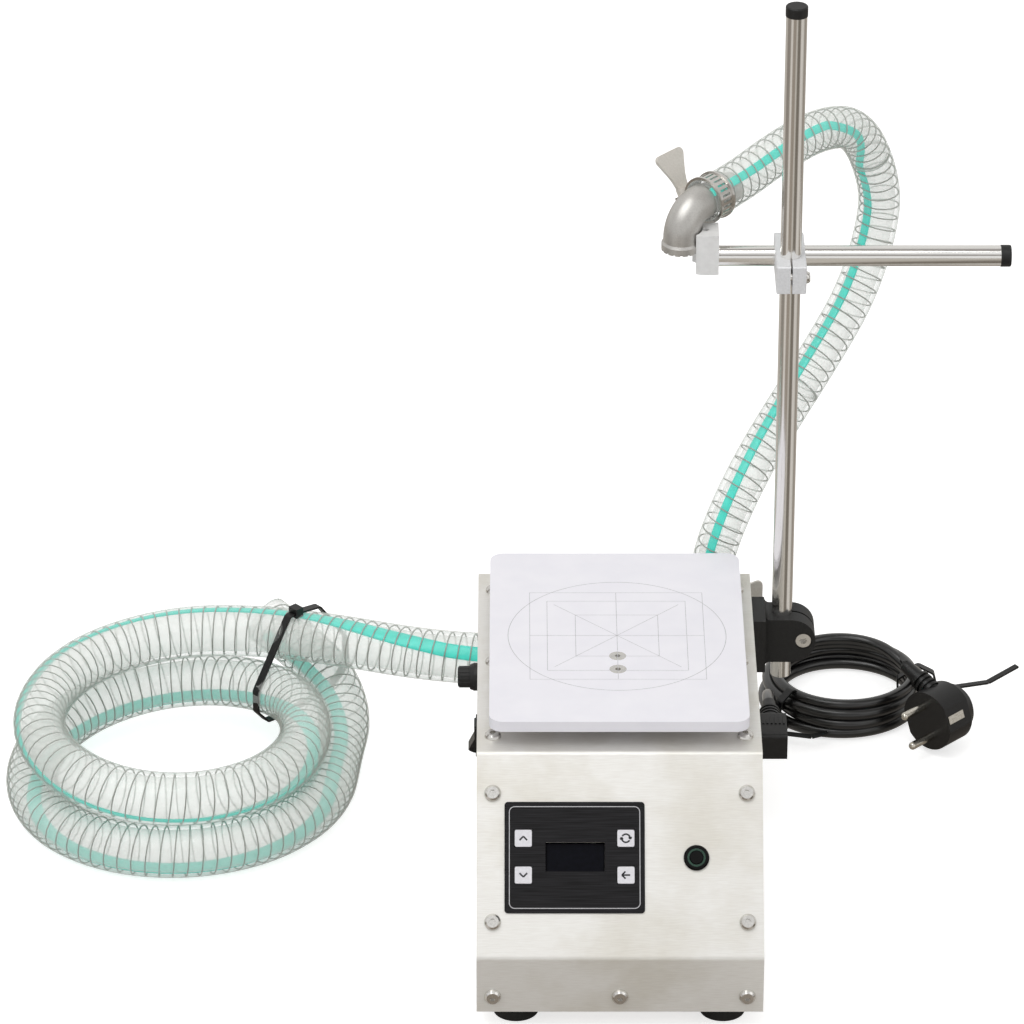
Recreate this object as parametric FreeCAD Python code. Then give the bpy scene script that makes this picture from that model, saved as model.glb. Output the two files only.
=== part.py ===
import FreeCAD, Part
import math
import os
from FreeCAD import Placement, Rotation, Vector

# A table-top honey filling machine. A sloped sheet-metal cabinet holds a weighing cell, a control board
# and a gear motor. A gear pump on the rear wall draws honey in through a coiled suction hose and
# pushes it through a delivery hose to a cast elbow, which an adjustable stand holds over the jar.
# Built in millimetres: X to the right, Y to the rear from the cabinet's front, Z up from the table.

# Cabinet
cabinet_width = 160.0
cabinet_depth = 280.0
foot_height = 12.5
strip_height = 35.0
slope_rise = 89.0
slope_run = 75.0
sheet = 1.5
bend_radius = 3.5
flange_width = 16.0
strip_top = foot_height + strip_height
cabinet_top = strip_top + slope_rise
slope_angle = math.degrees(math.atan2(slope_rise, slope_run))
half_width = cabinet_width / 2

# Button-head case screws
case_screw_size = 5.0
case_screw_head = 9.5
case_screw_rise = 2.75
case_screw_length = 8.0
case_hole = case_screw_size + 0.2
screw_inset = 9.0
slope_screw_low = 20.5
slope_screw_high = 93.0
strip_screw_rise = 10.2
top_screw_rows = (17.0, 100.0, 184.0)
socket_share = 0.6
rear_screw_inset = 22.0

# Feet
foot_bottom_width = 25.5
foot_top_width = 21.0
foot_inset = 22.0
foot_recess_width = 12.0
foot_recess_depth = 6.0

# Control label on the slope, measured in the slope's plane from the lower fold
label_width = 78.2
label_height = 62.6
label_thickness = 0.8
label_inset = 15.6
label_rise = 56.7
label_centre = (label_inset + label_width / 2 - half_width, label_rise)
label_corner = 2.0
window_width = 33.0
window_height = 16.5
window_offset = (0.3, 0.4)
key_size = 9.5
key_gap = 0.2
key_depth = 2.0
key_stem = 5.0
key_travel = 0.5
key_spread_x = 28.6
key_rows = (10.8, -9.9)
board_gap = 9.0
board_thickness = 1.6
board_margin = 6.0
display_depth = 6.0
switch_size = 6.0
switch_height = 4.5
pillar_width = 5.0

# Push-button
button_inset = 37.4
button_rise = 56.5
button_centre = (half_width - button_inset, button_rise)
bezel_width = 14.3
bezel_rise = 2.0
barrel_width = 12.0
barrel_length = 18.0
ring_outer = 10.2
ring_inner = 7.6
ring_depth = 3.0
cap_width = 7.2
cap_rise = 0.8
cap_depth = 8.0
button_travel = 1.5

# Rocker switch and fuse holder on the left wall
side_fitting_inset = 41.0
side_fitting_y = cabinet_depth - side_fitting_inset
rocker_height = 50.0
rocker_frame = (15.0, 21.0)
rocker_frame_rise = 1.6
rocker_lip = 2.0
rocker_opening = (10.6, 18.8)
rocker_body_depth = 16.0
rocker_tilt = 12.0
rocker_reach = 9.2
rocker_peak = 3.3
rocker_pin = 2.0
running_gap = 0.05
fuse_height = 90.0
fuse_flange_width = 16.5
fuse_flange_rise = 5.0
fuse_cap_width = 12.8
fuse_cap_rise = 7.0
fuse_body_width = 12.0
fuse_body_length = 30.0
fuse_spigot_width = 8.0
fuse_spigot_length = 12.0
fuse_grooves = 14
fuse_groove_width = 1.2

# Mains inlet and its angled connector on the right wall
inlet_inset = 51.0
inlet_y = cabinet_depth - inlet_inset
inlet_height = 55.5
inlet_flange = (50.0, 24.0)
inlet_flange_rise = 1.5
inlet_mouth = (24.6, 17.0)
inlet_wall = 1.6
inlet_depth = 17.0
inlet_screw_size = 4.0
inlet_screw_spacing = 40.0
inlet_pin = (2.0, 4.0)
inlet_pin_spacing = 7.0
inlet_pin_rows = (-1.5, 2.0)
inlet_pin_length = 14.0
pin_clearance = 0.6
connector_body = (28.0, 16.6)
connector_depth = 20.0
connector_corner = 2.0
connector_nose = (24.0, 16.4)
connector_nose_length = 15.0
relief_length = 24.0
relief_start_width = 11.0
relief_end_width = 8.0
relief_ribs = 4
relief_rib_pitch = 3.2
relief_rib_rise = 0.8
grip_lines = 6
grip_pitch = 2.4
grip_rise = 0.5

# Weighing plate and load cell
plate_side_margin = 7.0
plate_end_margin = 5.0
plate_width = cabinet_width - 2 * plate_side_margin
plate_depth = cabinet_depth - slope_run - 2 * plate_end_margin
plate_thickness = 6.5
plate_corner = 8.0
plate_centre_y = (slope_run + cabinet_depth) / 2
plate_gap = 10.0
cell_width = 12.7
cell_length = 80.0
cell_drop = 5.0
cell_screw_pitch = 15.0
cell_end_inset = 5.5
cell_hole = 9.0
cell_hole_pitch = 22.0
spacer_gap = 2.0
plate_screw_head = 9.8
countersink_depth = 2.6
cell_offset = 4.0
cell_centre_y = plate_centre_y - cell_offset
plate_bottom = cabinet_top + plate_gap
plate_top = plate_bottom + plate_thickness
cell_top = cabinet_top - sheet - cell_drop

# Power supply
supply_size = (88.0, 58.0, 34.0)
supply_front = 84.0
supply_corner = 3.0
supply_boss = 4.0
supply_vents = 6
vent_width = 3.0
vent_depth = 2.0

# Gear pump on the rear wall
gear_module = 2.0
gear_teeth = 12
gear_pressure_angle = 25.0
gear_backlash = 0.12
gear_width = 18.0
tip_clearance = 0.08
face_clearance = 0.05
port_height = 68.0
pump_width = 48.0
pump_margin = 10.0
pump_back_wall = 8.0
pump_cover_thickness = 9.0
shaft_width = 10.0
shaft_into_motor = 16.0
shaft_into_cover = 6.0
port_width = 11.5
port_thread_width = 16.7
port_thread_length = 8.0
pump_screw_size = 5.0
pump_screw_head = 8.5
pump_screw_head_height = 5.0
pump_screw_inset = 6.0
pump_corner = 6.0
gear_pitch = gear_module * gear_teeth
gear_tip = gear_module * (gear_teeth + 2) / 2
gear_root = gear_module * (gear_teeth / 2 - 1.25)
pump_height = gear_pitch + 2 * (gear_tip + pump_margin)
chamber_depth = gear_width + 2 * face_clearance
pump_depth = pump_back_wall + chamber_depth
port_y = cabinet_depth + pump_back_wall + chamber_depth / 2
drive_height = port_height + gear_pitch / 2
driven_height = port_height - gear_pitch / 2

# Gear motor inside the cabinet
gearbox_width = 52.0
gearbox_length = 44.0
motor_width = 42.0
motor_length = 58.0

# Hoses and their fittings
suction_width = 31.0
suction_bore = 25.0
delivery_width = 25.0
delivery_bore = 19.0
barb_rise = 0.5
barb_count = 3
barb_wall = 2.5
hose_gap = 0.05
hex_length = 8.0
suction_nut_width = 30.0
shoulder_height = 3.0
suction_barb_length = 30.0
delivery_barb_length = 26.0
elbow_leg_x = 57.0
elbow_bend = 17.0

# Worm-drive hose clamps
band_width = 12.0
band_thickness = 0.8
band_rim = 1.5
slotted_share = 0.62
slot_pitch = 3.2
slot_width = 1.3
slot_length = 6.5
suction_clamp_offset = 15.0
delivery_clamp_offset = 13.0
nozzle_clamp_offset = 6.5
nozzle_clamp_lean = 31.0
housing_size = (12.0, 9.0, 13.0)
housing_corner = 1.5
worm_width = 6.4
worm_height = 4.3
worm_head_width = 8.4
worm_head_length = 4.0
wing_neck = 8.0
wing_waist = 11.0
wing_sweep = 30.0
wing_span = 26.0
wing_length = 24.0
wing_thickness = 1.8
wing_corner = 3.0

# Stand
pole_width = 12.0
pole_wall = 1.0
pole_standoff = 18.0
pole_inset = 30.0
pole_x = half_width + pole_standoff
pole_y = cabinet_depth - pole_inset
pole_length = 421.5
pole_below = 27.5
bracket_drop = 22.5
bracket_height = cabinet_top - bracket_drop
pole_bottom = bracket_height - pole_below
pole_top = pole_bottom + pole_length
end_cap_rise = 6.0
end_cap_plug = 10.0
end_cap_rim = 0.3
bracket_flange = (8.0, 30.0, 34.0)
bracket_flange_shift = 3.0
bracket_flange_y = pole_y - bracket_flange_shift
bolt_head_gap = 0.5
bracket_block_depth = 22.0
bracket_block_height = 28.0
bracket_reach = 37.5
bracket_slit = 1.5
bracket_fillet = 3.0
clamp_bolt_reach = 12.4
clamp_bolt_x = pole_x + clamp_bolt_reach
clamp_bolt_size = 5.0
clamp_bolt_head = 9.0
clamp_bolt_recess = 5.0
bracket_screw_spacing = 18.0
cross_block = (17.0, 46.0, 17.0)
cross_chamfer = 0.6
cross_front_reach = 16.0
cross_front = pole_y - cross_front_reach
cross_height = 351.5
cross_slit = 1.2
cross_screw_size = 4.0
cross_screw_head = 7.0
cross_screw_rise = 2.2
cross_screw_inset = 4.6
tube_offset = 15.6
arm_rise = 0.5
arm_y = pole_y + tube_offset
arm_height = cross_height + arm_rise
arm_overhang = 120.5
arm_right = pole_x + arm_overhang

# Nozzle elbow and its holder
nozzle_offset = 61.9
nozzle_rise = 4.6
elbow_height = 23.0
saddle_gap = 0.05
nozzle_x = pole_x - nozzle_offset
nozzle_bottom = arm_height + nozzle_rise
lip_width = 22.5
lip_height = 4.0
lip_taper = 1.5
lip_notches = 16
notch_width = 1.4
notch_depth = 1.1
arm_left = nozzle_x + lip_width / 2 + saddle_gap
elbow_width = 20.5
elbow_bore = 16.0
nozzle_bend = 16.0
nozzle_axis_height = nozzle_bottom + elbow_height
nozzle_leg_length = 3.0
nozzle_turn = 49.0
holder_near = 1.9
holder_length = 21.4
holder_left = nozzle_x + holder_near
holder_right = nozzle_x + holder_length
holder_depth = 18.0
holder_corner = 12.0
holder_drop = 8.0
holder_height = 24.6
holder_bottom = arm_height - holder_drop
holder_top = holder_bottom + holder_height
holder_screw_size = 4.0
holder_screw_inset = 7.5

# Routes of the hoses, after the straight run that each one starts or ends with
table_gap = 0.3
suction_lead = 43.0
suction_route = [
    (-118.0, 303.0, 69.0), (-165.0, 318.0, 68.0), (-212.0, 331.0, 66.0), (-262.0, 332.0, 64.0),
    (-306.0, 315.0, 60.0), (-335.0, 280.0, 54.0),
]
coil_centre = (-252.0, 252.0)
coil_radius = 83.0
coil_spread = 5.0
delivery_lead = 27.0
delivery_route = [
    (58.5, 295.0, 139.0), (67.0, 300.0, 164.0), (80.0, 314.0, 187.0), (94.0, 331.5, 205.0),
    (127.0, 370.0, 242.0), (145.0, 389.0, 268.0), (156.0, 402.0, 300.0), (159.0, 405.5, 330.0),
    (143.0, 387.5, 377.0), (119.0, 360.0, 388.5), (93.0, 330.0, 387.0),
]
delivery_breaks = (5, 9)

# Mains lead, its bundle and its plug
cord_width = 7.0
lead_out_route = [
    (92.0, 280.0, 54.0), (94.0, 297.0, 44.0), (96.0, 314.0, 29.0), (99.0, 332.0, 15.0), (104.0, 345.0, 11.0),
]
lead_back_route = [
    (187.0, 372.0, 14.0), (188.0, 356.0, 22.0), (186.0, 343.0, 33.0), (178.0, 333.0, 43.0),
]
lead_coil_centre = (141.5, 364.0)
lead_coil_radius = 43.5
lead_coil_thickness = 16.0
lead_coil_height = 24.0
plug_place = (190.0, 303.0, 22.0)
plug_pin_direction = (-0.7071, -0.7071, 0.0)
plug_up = (-0.26, 0.26, 0.93)
plug_face_width = 37.0
plug_depth = 20.0
plug_rear_depth = 8.0
plug_step = 2.0
plug_flat = 3.0
plug_pin_width = 4.8
plug_pin_length = 19.0
plug_pin_spacing = 19.0
clip_size = (1.6, 5.0, 6.0)

# Cable ties: each strap's outline in an upright plane, along that plane and up from the table
tie_thickness = 1.2
tie_width = 4.8
tie_bend = 3.0
tie_head = (7.0, 5.5, 6.0)
hose_tie_place = (-216.0, 302.0, 0.0)
hose_tie_direction = (0.72, 0.69, 0.0)
hose_tie_outline = [
    (36.0, 84.5), (54.0, 82.0), (76.0, 52.0), (76.0, 32.0), (62.0, 20.0), (24.0, 17.5), (10.0, 18.5),
    (2.0, 28.0), (2.0, 42.0), (29.0, 84.0), (33.0, 84.5),
]
lead_tie_outline = [
    (12.5, 8.0), (10.0, 0.6), (-12.0, 0.6), (-13.0, 17.0), (0.0, 26.5), (10.0, 21.0), (12.5, 10.5),
]
rear_tie_place = (188.0, 364.0, 0.0)
rear_tie_direction = (1.0, 0.0, 0.0)
rear_tail = [(201.0, 363.5, 9.0), (231.8, 370.0, 10.3), (250.4, 383.0, 14.2)]
front_tie_place = (109.2, 334.9, 0.0)
front_tie_direction = (-0.743, -0.669, 0.0)
front_tail = [(99.9, 325.0, 8.0), (104.0, 314.0, 7.0), (121.0, 310.0, 7.0), (131.0, 313.0, 8.0)]

nodes = {}
soft_nodes = []


def vec(x, y, z):
    return Vector(x, y, z)


X_AXIS = vec(1, 0, 0)
Y_AXIS = vec(0, 1, 0)
Z_AXIS = vec(0, 0, 1)


def add(name, *solids):
    """Register one named piece, made of one solid or of a group of like solids."""
    nodes[name] = solids[0] if len(solids) == 1 else Part.makeCompound(list(solids))


def seat(shape, origin, x_axis, y_axis):
    """Move a shape from its own axes onto a face, given that face's origin, right and up."""
    turn = Rotation(x_axis, y_axis, x_axis.cross(y_axis), "XYZ")
    placed = shape.copy()
    placed.Placement = Placement(origin, turn).multiply(placed.Placement)
    return placed


def on_slope(shape):
    """Place a shape drawn flat on the sloping panel: x right, y up the slope, z out of it."""
    up = vec(0, math.cos(math.radians(slope_angle)), math.sin(math.radians(slope_angle)))
    return seat(shape, vec(0, 0, strip_top), X_AXIS, up)


def on_left(shape, y, z):
    return seat(shape, vec(-half_width, y, z), -Y_AXIS, Z_AXIS)


def on_right(shape, y, z):
    return seat(shape, vec(half_width, y, z), Y_AXIS, Z_AXIS)


def on_rear(shape, x, z):
    return seat(shape, vec(x, cabinet_depth, z), -X_AXIS, Z_AXIS)


def disc(radius, low, high, x=0.0, y=0.0):
    return Part.makeCylinder(radius, high - low, vec(x, y, low), Z_AXIS)


def rod(radius, start, end):
    run = end - start
    return Part.makeCylinder(radius, run.Length, start, run)


def block(width, depth, low, high, x=0.0, y=0.0):
    return Part.makeBox(width, depth, high - low, vec(x - width / 2, y - depth / 2, low))


def rounded_block(width, depth, low, high, radius, x=0.0, y=0.0):
    """A block whose four upright edges are rounded."""
    body = block(width, depth, low, high, x, y)
    tall = (high - low) / 2
    upright = [edge for edge in body.Edges if abs(edge.Vertexes[0].Z - edge.Vertexes[1].Z) > tall]
    return body.makeFillet(radius, upright)


def hexagon(across_flats, low, high, x=0.0, y=0.0):
    radius = across_flats / math.sqrt(3)
    corners = [vec(x + radius * math.cos(math.pi * k / 3), y + radius * math.sin(math.pi * k / 3), low)
               for k in range(7)]
    return Part.Face(Part.makePolygon(corners)).extrude(vec(0, 0, high - low))


def revolve_profile(points):
    """A solid turned about Z from (radius, height) points."""
    wire = Part.makePolygon([vec(r, 0, z) for r, z in points + points[:1]])
    return Part.Face(wire).revolve(vec(0, 0, 0), Z_AXIS, 360)


def fuse_all(shapes):
    joined = shapes[0]
    for shape in shapes[1:]:
        joined = joined.fuse(shape)
    return joined.removeSplitter()


def corner_path(points, radii):
    """Edges of a path whose corners are tangent arcs."""
    edges = []
    last = points[0]
    for index in range(1, len(points) - 1):
        before = (points[index - 1] - points[index]).normalize()
        after = (points[index + 1] - points[index]).normalize()
        turn = math.pi - before.getAngle(after)
        reach = radii[index - 1] * math.tan(turn / 2)
        start = points[index] + before * reach
        end = points[index] + after * reach
        middle_way = (before + after).normalize()
        sagitta = radii[index - 1] / math.cos(turn / 2) - radii[index - 1]
        edges.append(Part.LineSegment(last, start).toShape())
        edges.append(Part.Arc(start, points[index] + middle_way * sagitta, end).toShape())
        last = end
    edges.append(Part.LineSegment(last, points[-1]).toShape())
    return edges


def offset_points(points, distance):
    """Shift an open outline in the YZ plane to its right-hand side by a distance."""
    shifted = []
    for index, point in enumerate(points):
        sides = []
        if index > 0:
            sides.append((point - points[index - 1]).normalize())
        if index < len(points) - 1:
            sides.append((points[index + 1] - point).normalize())
        normals = [vec(0, side.z, -side.y) for side in sides]
        push = normals[0] + normals[-1]
        push.normalize()
        shifted.append(point + push * (distance / push.dot(normals[0])))
    return shifted


def bent_section(points, outer_radius, thickness):
    """Section of a bent strip whose outer face follows the points and whose inner face is on their right."""
    inner = offset_points(points, thickness)
    corners = len(points) - 2
    outer_edges = corner_path(points, [outer_radius] * corners)
    inner_edges = corner_path(inner, [outer_radius - thickness] * corners)
    first = Part.LineSegment(points[0], inner[0]).toShape()
    last = Part.LineSegment(points[-1], inner[-1]).toShape()
    wire = Part.Wire(Part.__sortEdges__(outer_edges + [last] + inner_edges + [first]))
    return Part.Face(wire)


def button_screw(size, head, rise, length):
    """A button-head screw with a hex socket, its seat at z = 0 and its shank below."""
    flat = head * 0.36
    dome = revolve_profile([(0, 0), (head / 2, 0), (head / 2, rise * 0.2), (head * 0.46, rise * 0.62),
                            (flat, rise), (0, rise)])
    socket = hexagon(size * socket_share, rise - size * 0.3, rise + 1)
    return dome.cut(socket).fuse(disc(size / 2, -length, 0))


def socket_screw(size, head, rise, length):
    """A cap screw with a hex socket, its seat at z = 0 and its shank below."""
    socket = hexagon(size * 0.8, rise * 0.4, rise + 1)
    return disc(head / 2, 0, rise).cut(socket).fuse(disc(size / 2, -length, 0))


def flat_screw(size, head, sink, length):
    """A countersunk screw with a hex socket, its flat top at z = 0."""
    cone = Part.makeCone(size / 2, head / 2, sink, vec(0, 0, -sink), Z_AXIS)
    socket = hexagon(size * socket_share, -sink * 0.6, 1)
    return cone.fuse(disc(size / 2, -length, -sink)).cut(socket)


def cabinet_outline():
    return [vec(0, 0, foot_height), vec(0, 0, strip_top), vec(0, slope_run, cabinet_top),
            vec(0, cabinet_depth, cabinet_top)]


def case_screw_seats():
    """Origin, right and up of each visible case screw."""
    side = half_width - screw_inset
    slope_up = vec(0, math.cos(math.radians(slope_angle)), math.sin(math.radians(slope_angle)))
    seats = []
    for x in (-side, 0, side):
        seats.append((vec(x, 0, foot_height + strip_screw_rise), X_AXIS, Z_AXIS))
    for x in (-side, side):
        for along in (slope_screw_low, slope_screw_high):
            seats.append((vec(x, 0, strip_top) + slope_up * along, X_AXIS, slope_up))
        for row in top_screw_rows:
            seats.append((vec(x, slope_run + row, cabinet_top), X_AXIS, Y_AXIS))
        for z in (foot_height + rear_screw_inset, cabinet_top - rear_screw_inset):
            seats.append((vec(x, cabinet_depth, z), -X_AXIS, Z_AXIS))
    return seats


def foot_places():
    inset_x = half_width - foot_inset
    return [(x, y) for x in (-inset_x, inset_x) for y in (foot_inset, cabinet_depth - foot_inset)]


def case_holes(radius):
    """One drill for each case screw."""
    drill = disc(radius, -2 * flange_width / 3, sheet)
    return [seat(drill, *place) for place in case_screw_seats()]


def key_centres():
    return [(name, label_centre[0] + side * key_spread_x, label_centre[1] + row)
            for side, row, name in ((-1, key_rows[0], "key_up"), (-1, key_rows[1], "key_down"),
                                    (1, key_rows[0], "key_cycle"), (1, key_rows[1], "key_back"))]


def window_centre():
    return (label_centre[0] + window_offset[0], label_centre[1] + window_offset[1])


def cell_screw_rows():
    """Y of the load cell's screws: the pair under the plate's screws, then the fixed pair."""
    front = cell_centre_y - cell_length / 2 + cell_end_inset
    rear = cell_centre_y + cell_length / 2 - cell_end_inset
    return (front, front + cell_screw_pitch), (rear - cell_screw_pitch, rear)


def pump_screw_places():
    side = pump_width / 2 - pump_screw_inset
    reach = pump_height / 2 - pump_screw_inset
    return [(x, port_height + z) for x in (-side, side) for z in (-reach, reach)]


def make_cover():
    """The bent cover: front strip, sloping panel and top in one sheet."""
    section = bent_section(cabinet_outline(), bend_radius, sheet)
    section.translate(vec(-half_width, 0, 0))
    cover = section.extrude(vec(cabinet_width, 0, 0))
    cuts = case_holes(case_hole / 2)
    depth = -2 * sheet
    wide_key = key_size + 2 * key_gap
    for _, x, y in key_centres():
        cuts.append(on_slope(block(wide_key, wide_key, depth, sheet, x, y)))
    cuts.append(on_slope(block(window_width, window_height, depth, sheet, *window_centre())))
    cuts.append(on_slope(disc(barrel_width / 2 + running_gap, depth, sheet, *button_centre)))
    loaded, fixed = cell_screw_rows()
    slot_length = cell_screw_pitch + 2 * (cell_end_inset + spacer_gap)
    slot = block(cell_width + 2 * spacer_gap, slot_length, cabinet_top - 2 * sheet, cabinet_top + sheet,
                 0, sum(loaded) / 2)
    cuts.append(slot)
    for y in fixed:
        cuts.append(disc(case_hole / 2, cabinet_top - 2 * sheet, cabinet_top + sheet, 0, y))
    add("cover", cover.cut(Part.makeCompound(cuts)))


def make_chassis():
    """Base and side walls in one folded sheet, with flanges that the cover is screwed to."""
    outline = cabinet_outline()
    inner = offset_points(outline, sheet)
    inner[0] = vec(0, sheet, foot_height)
    inner[-1] = vec(0, cabinet_depth - sheet, cabinet_top - sheet)
    wall_face = inner + [vec(0, cabinet_depth - sheet, foot_height), inner[0]]
    wall = Part.Face(Part.makePolygon(wall_face)).extrude(vec(sheet, 0, 0))
    flange_path = [inner[0] + vec(0, 0, sheet)] + inner[1:]
    flange = bent_section(flange_path, bend_radius - sheet, sheet).extrude(vec(flange_width, 0, 0))
    rear_flange = Part.makeBox(flange_width, sheet, cabinet_top - foot_height - 2 * sheet,
                               vec(0, cabinet_depth - 2 * sheet, foot_height + sheet / 2))
    side = fuse_all([wall, flange, rear_flange])
    left = side.copy()
    left.translate(vec(-half_width, 0, 0))
    right = side.mirror(vec(0, 0, 0), X_AXIS)
    right.translate(vec(half_width, 0, 0))
    base = Part.makeBox(cabinet_width, cabinet_depth - 2 * sheet, sheet,
                        vec(-half_width, sheet, foot_height))
    front_lip = Part.makeBox(cabinet_width, sheet, strip_height / 2, vec(-half_width, sheet, foot_height))
    chassis = fuse_all([base, left, right, front_lip])
    cuts = case_holes(case_screw_size / 2)
    for x, y in foot_places():
        cuts.append(disc(case_screw_size / 2, foot_height - sheet, foot_height + 2 * sheet, x, y))
    cuts.append(on_left(block(rocker_frame[0] - rocker_lip, rocker_frame[1] - rocker_lip, -2 * sheet, sheet),
                        side_fitting_y, rocker_height))
    fuse_hole = disc(fuse_body_width / 2 + running_gap, -2 * sheet, sheet)
    cuts.append(on_left(fuse_hole, side_fitting_y, fuse_height))
    mouth = [size + 2 * inlet_wall for size in inlet_mouth]
    cuts.append(on_right(block(mouth[0], mouth[1], -2 * sheet, sheet), inlet_y, inlet_height))
    for side_step in (-1, 1):
        hole = disc(inlet_screw_size / 2, -2 * sheet, sheet, side_step * inlet_screw_spacing / 2, 0)
        cuts.append(on_right(hole, inlet_y, inlet_height))
        hole = disc(case_screw_size / 2, -2 * sheet, sheet, 0, side_step * bracket_screw_spacing / 2)
        cuts.append(on_right(hole, bracket_flange_y, bracket_height))
    add("chassis", chassis.cut(Part.makeCompound(cuts)))


def make_rear_panel():
    """Flat rear wall that carries the pump outside and the gear motor inside."""
    high = cabinet_top - sheet
    panel = Part.makeBox(cabinet_width, sheet, high - foot_height,
                         vec(-half_width, cabinet_depth - sheet, foot_height))
    cuts = case_holes(case_hole / 2)
    cuts.append(on_rear(disc(shaft_width / 2 + 1, -2 * sheet, sheet), 0, drive_height))
    for x, z in pump_screw_places():
        cuts.append(on_rear(disc(pump_screw_size / 2, -2 * sheet, sheet), x, z))
    add("rear_panel", panel.cut(Part.makeCompound(cuts)))


def make_case_screws():
    screw = button_screw(case_screw_size, case_screw_head, case_screw_rise, case_screw_length)
    add("case_screws", *[seat(screw, *place) for place in case_screw_seats()])


def make_feet():
    """Four moulded rubber feet, each with a recess for its screw."""
    feet = []
    for x, y in foot_places():
        foot = Part.makeCone(foot_bottom_width / 2, foot_top_width / 2, foot_height, vec(x, y, 0), Z_AXIS)
        foot = foot.cut(disc(foot_recess_width / 2, 0, foot_recess_depth, x, y))
        feet.append(foot.cut(disc(case_screw_size / 2, 0, foot_height, x, y)))
    add("feet", *feet)


def make_label():
    """Membrane label with square holes for its keys and a clear window's opening."""
    label = rounded_block(label_width, label_height, 0, label_thickness, label_corner, *label_centre)
    wide_key = key_size + 2 * key_gap
    cuts = [block(wide_key, wide_key, -1, label_thickness + 1, x, y) for _, x, y in key_centres()]
    cuts.append(block(window_width, window_height, -1, label_thickness + 1, *window_centre()))
    add("label", on_slope(label.cut(Part.makeCompound(cuts))))


def make_keys():
    for name, x, y in key_centres():
        pad = rounded_block(key_size, key_size, label_thickness - key_depth, label_thickness, 1.0, x, y)
        stem_end = -sheet - board_gap + switch_height + key_travel + 0.1
        stem = block(key_stem, key_stem, stem_end, label_thickness - key_depth, x, y)
        add(name, on_slope(pad.fuse(stem)))


def make_control_board():
    """Board on four pillars behind the slope, with the display and a tact switch under each key."""
    top = -sheet - board_gap
    board = block(label_width - board_margin, label_height - board_margin, top - board_thickness, top,
                  *label_centre)
    pieces = [board]
    display = block(window_width - 1, window_height - 1, top, top + display_depth + sheet, *window_centre())
    pieces.append(display)
    for _, x, y in key_centres():
        pieces.append(block(switch_size, switch_size, top, top + switch_height, x, y))
    side_x = (label_width - board_margin) / 2 - pillar_width
    side_y = (label_height - board_margin) / 2 - pillar_width / 2
    for x in (-side_x, side_x):
        for y in (-side_y, side_y):
            pieces.append(disc(pillar_width / 2, top, -sheet, label_centre[0] + x, label_centre[1] + y))
    add("control_board", on_slope(fuse_all(pieces)))


def make_button():
    """Push-button: threaded bezel with a nut, lit ring and sprung cap."""
    x, y = button_centre
    bezel = revolve_profile([(0, 0), (bezel_width / 2, 0), (bezel_width / 2, bezel_rise * 0.6),
                             (bezel_width / 2 - 0.8, bezel_rise), (0, bezel_rise)])
    bezel.translate(vec(x, y, 0))
    barrel = disc(barrel_width / 2, -barrel_length, 0, x, y)
    well = disc(ring_outer / 2, bezel_rise - ring_depth, bezel_rise + 1, x, y)
    bore = disc(cap_width / 2 + key_gap, bezel_rise - cap_depth - button_travel, bezel_rise + 1, x, y)
    add("button_body", on_slope(fuse_all([bezel, barrel]).cut(well).cut(bore)))
    ring = disc(ring_outer / 2, bezel_rise - ring_depth, bezel_rise, x, y)
    ring = ring.cut(disc(ring_inner / 2 + key_gap, -barrel_length, bezel_rise + 1, x, y))
    add("button_ring", on_slope(ring))
    cap = disc(cap_width / 2, bezel_rise - cap_depth, bezel_rise + cap_rise, x, y)
    add("button_cap", on_slope(cap))


def make_rocker():
    """Rocker switch: frame with a pin across it, and the paddle that rocks on the pin."""
    frame = rounded_block(rocker_frame[0], rocker_frame[1], 0, rocker_frame_rise, 1.0)
    inner_depth = -rocker_reach / 2 - 1
    body = block(rocker_frame[0] - rocker_lip, rocker_frame[1] - rocker_lip, -rocker_body_depth, 0)
    opening = block(rocker_opening[0], rocker_opening[1], inner_depth, rocker_frame_rise + 1)
    pin = Part.makeCylinder(rocker_pin / 2, rocker_opening[0] + 1, vec(-rocker_opening[0] / 2 - 0.5, 0, 0),
                            X_AXIS)
    housing = fuse_all([frame.fuse(body).cut(opening), pin])
    add("switch_frame", on_left(housing, side_fitting_y, rocker_height))
    half = rocker_reach + 1
    corners = [(-half, -rocker_pin), (half, -rocker_pin), (half, rocker_peak + 1.6), (0, rocker_peak - 1),
               (-half, rocker_peak + 1.6), (-half, -rocker_pin)]
    wide = rocker_opening[0] - 2 * key_gap
    side = Part.Face(Part.makePolygon([vec(-wide / 2, y, z) for y, z in corners]))
    reach = Part.makeCylinder(rocker_reach, wide, vec(-wide / 2, 0, 0), X_AXIS)
    paddle = side.extrude(vec(wide, 0, 0)).common(reach)
    paddle = paddle.cut(Part.makeCylinder(rocker_pin / 2 + running_gap, wide, vec(-wide / 2, 0, 0), X_AXIS))
    paddle.rotate(vec(0, 0, 0), X_AXIS, -rocker_tilt)
    add("switch_rocker", on_left(paddle, side_fitting_y, rocker_height))


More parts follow.
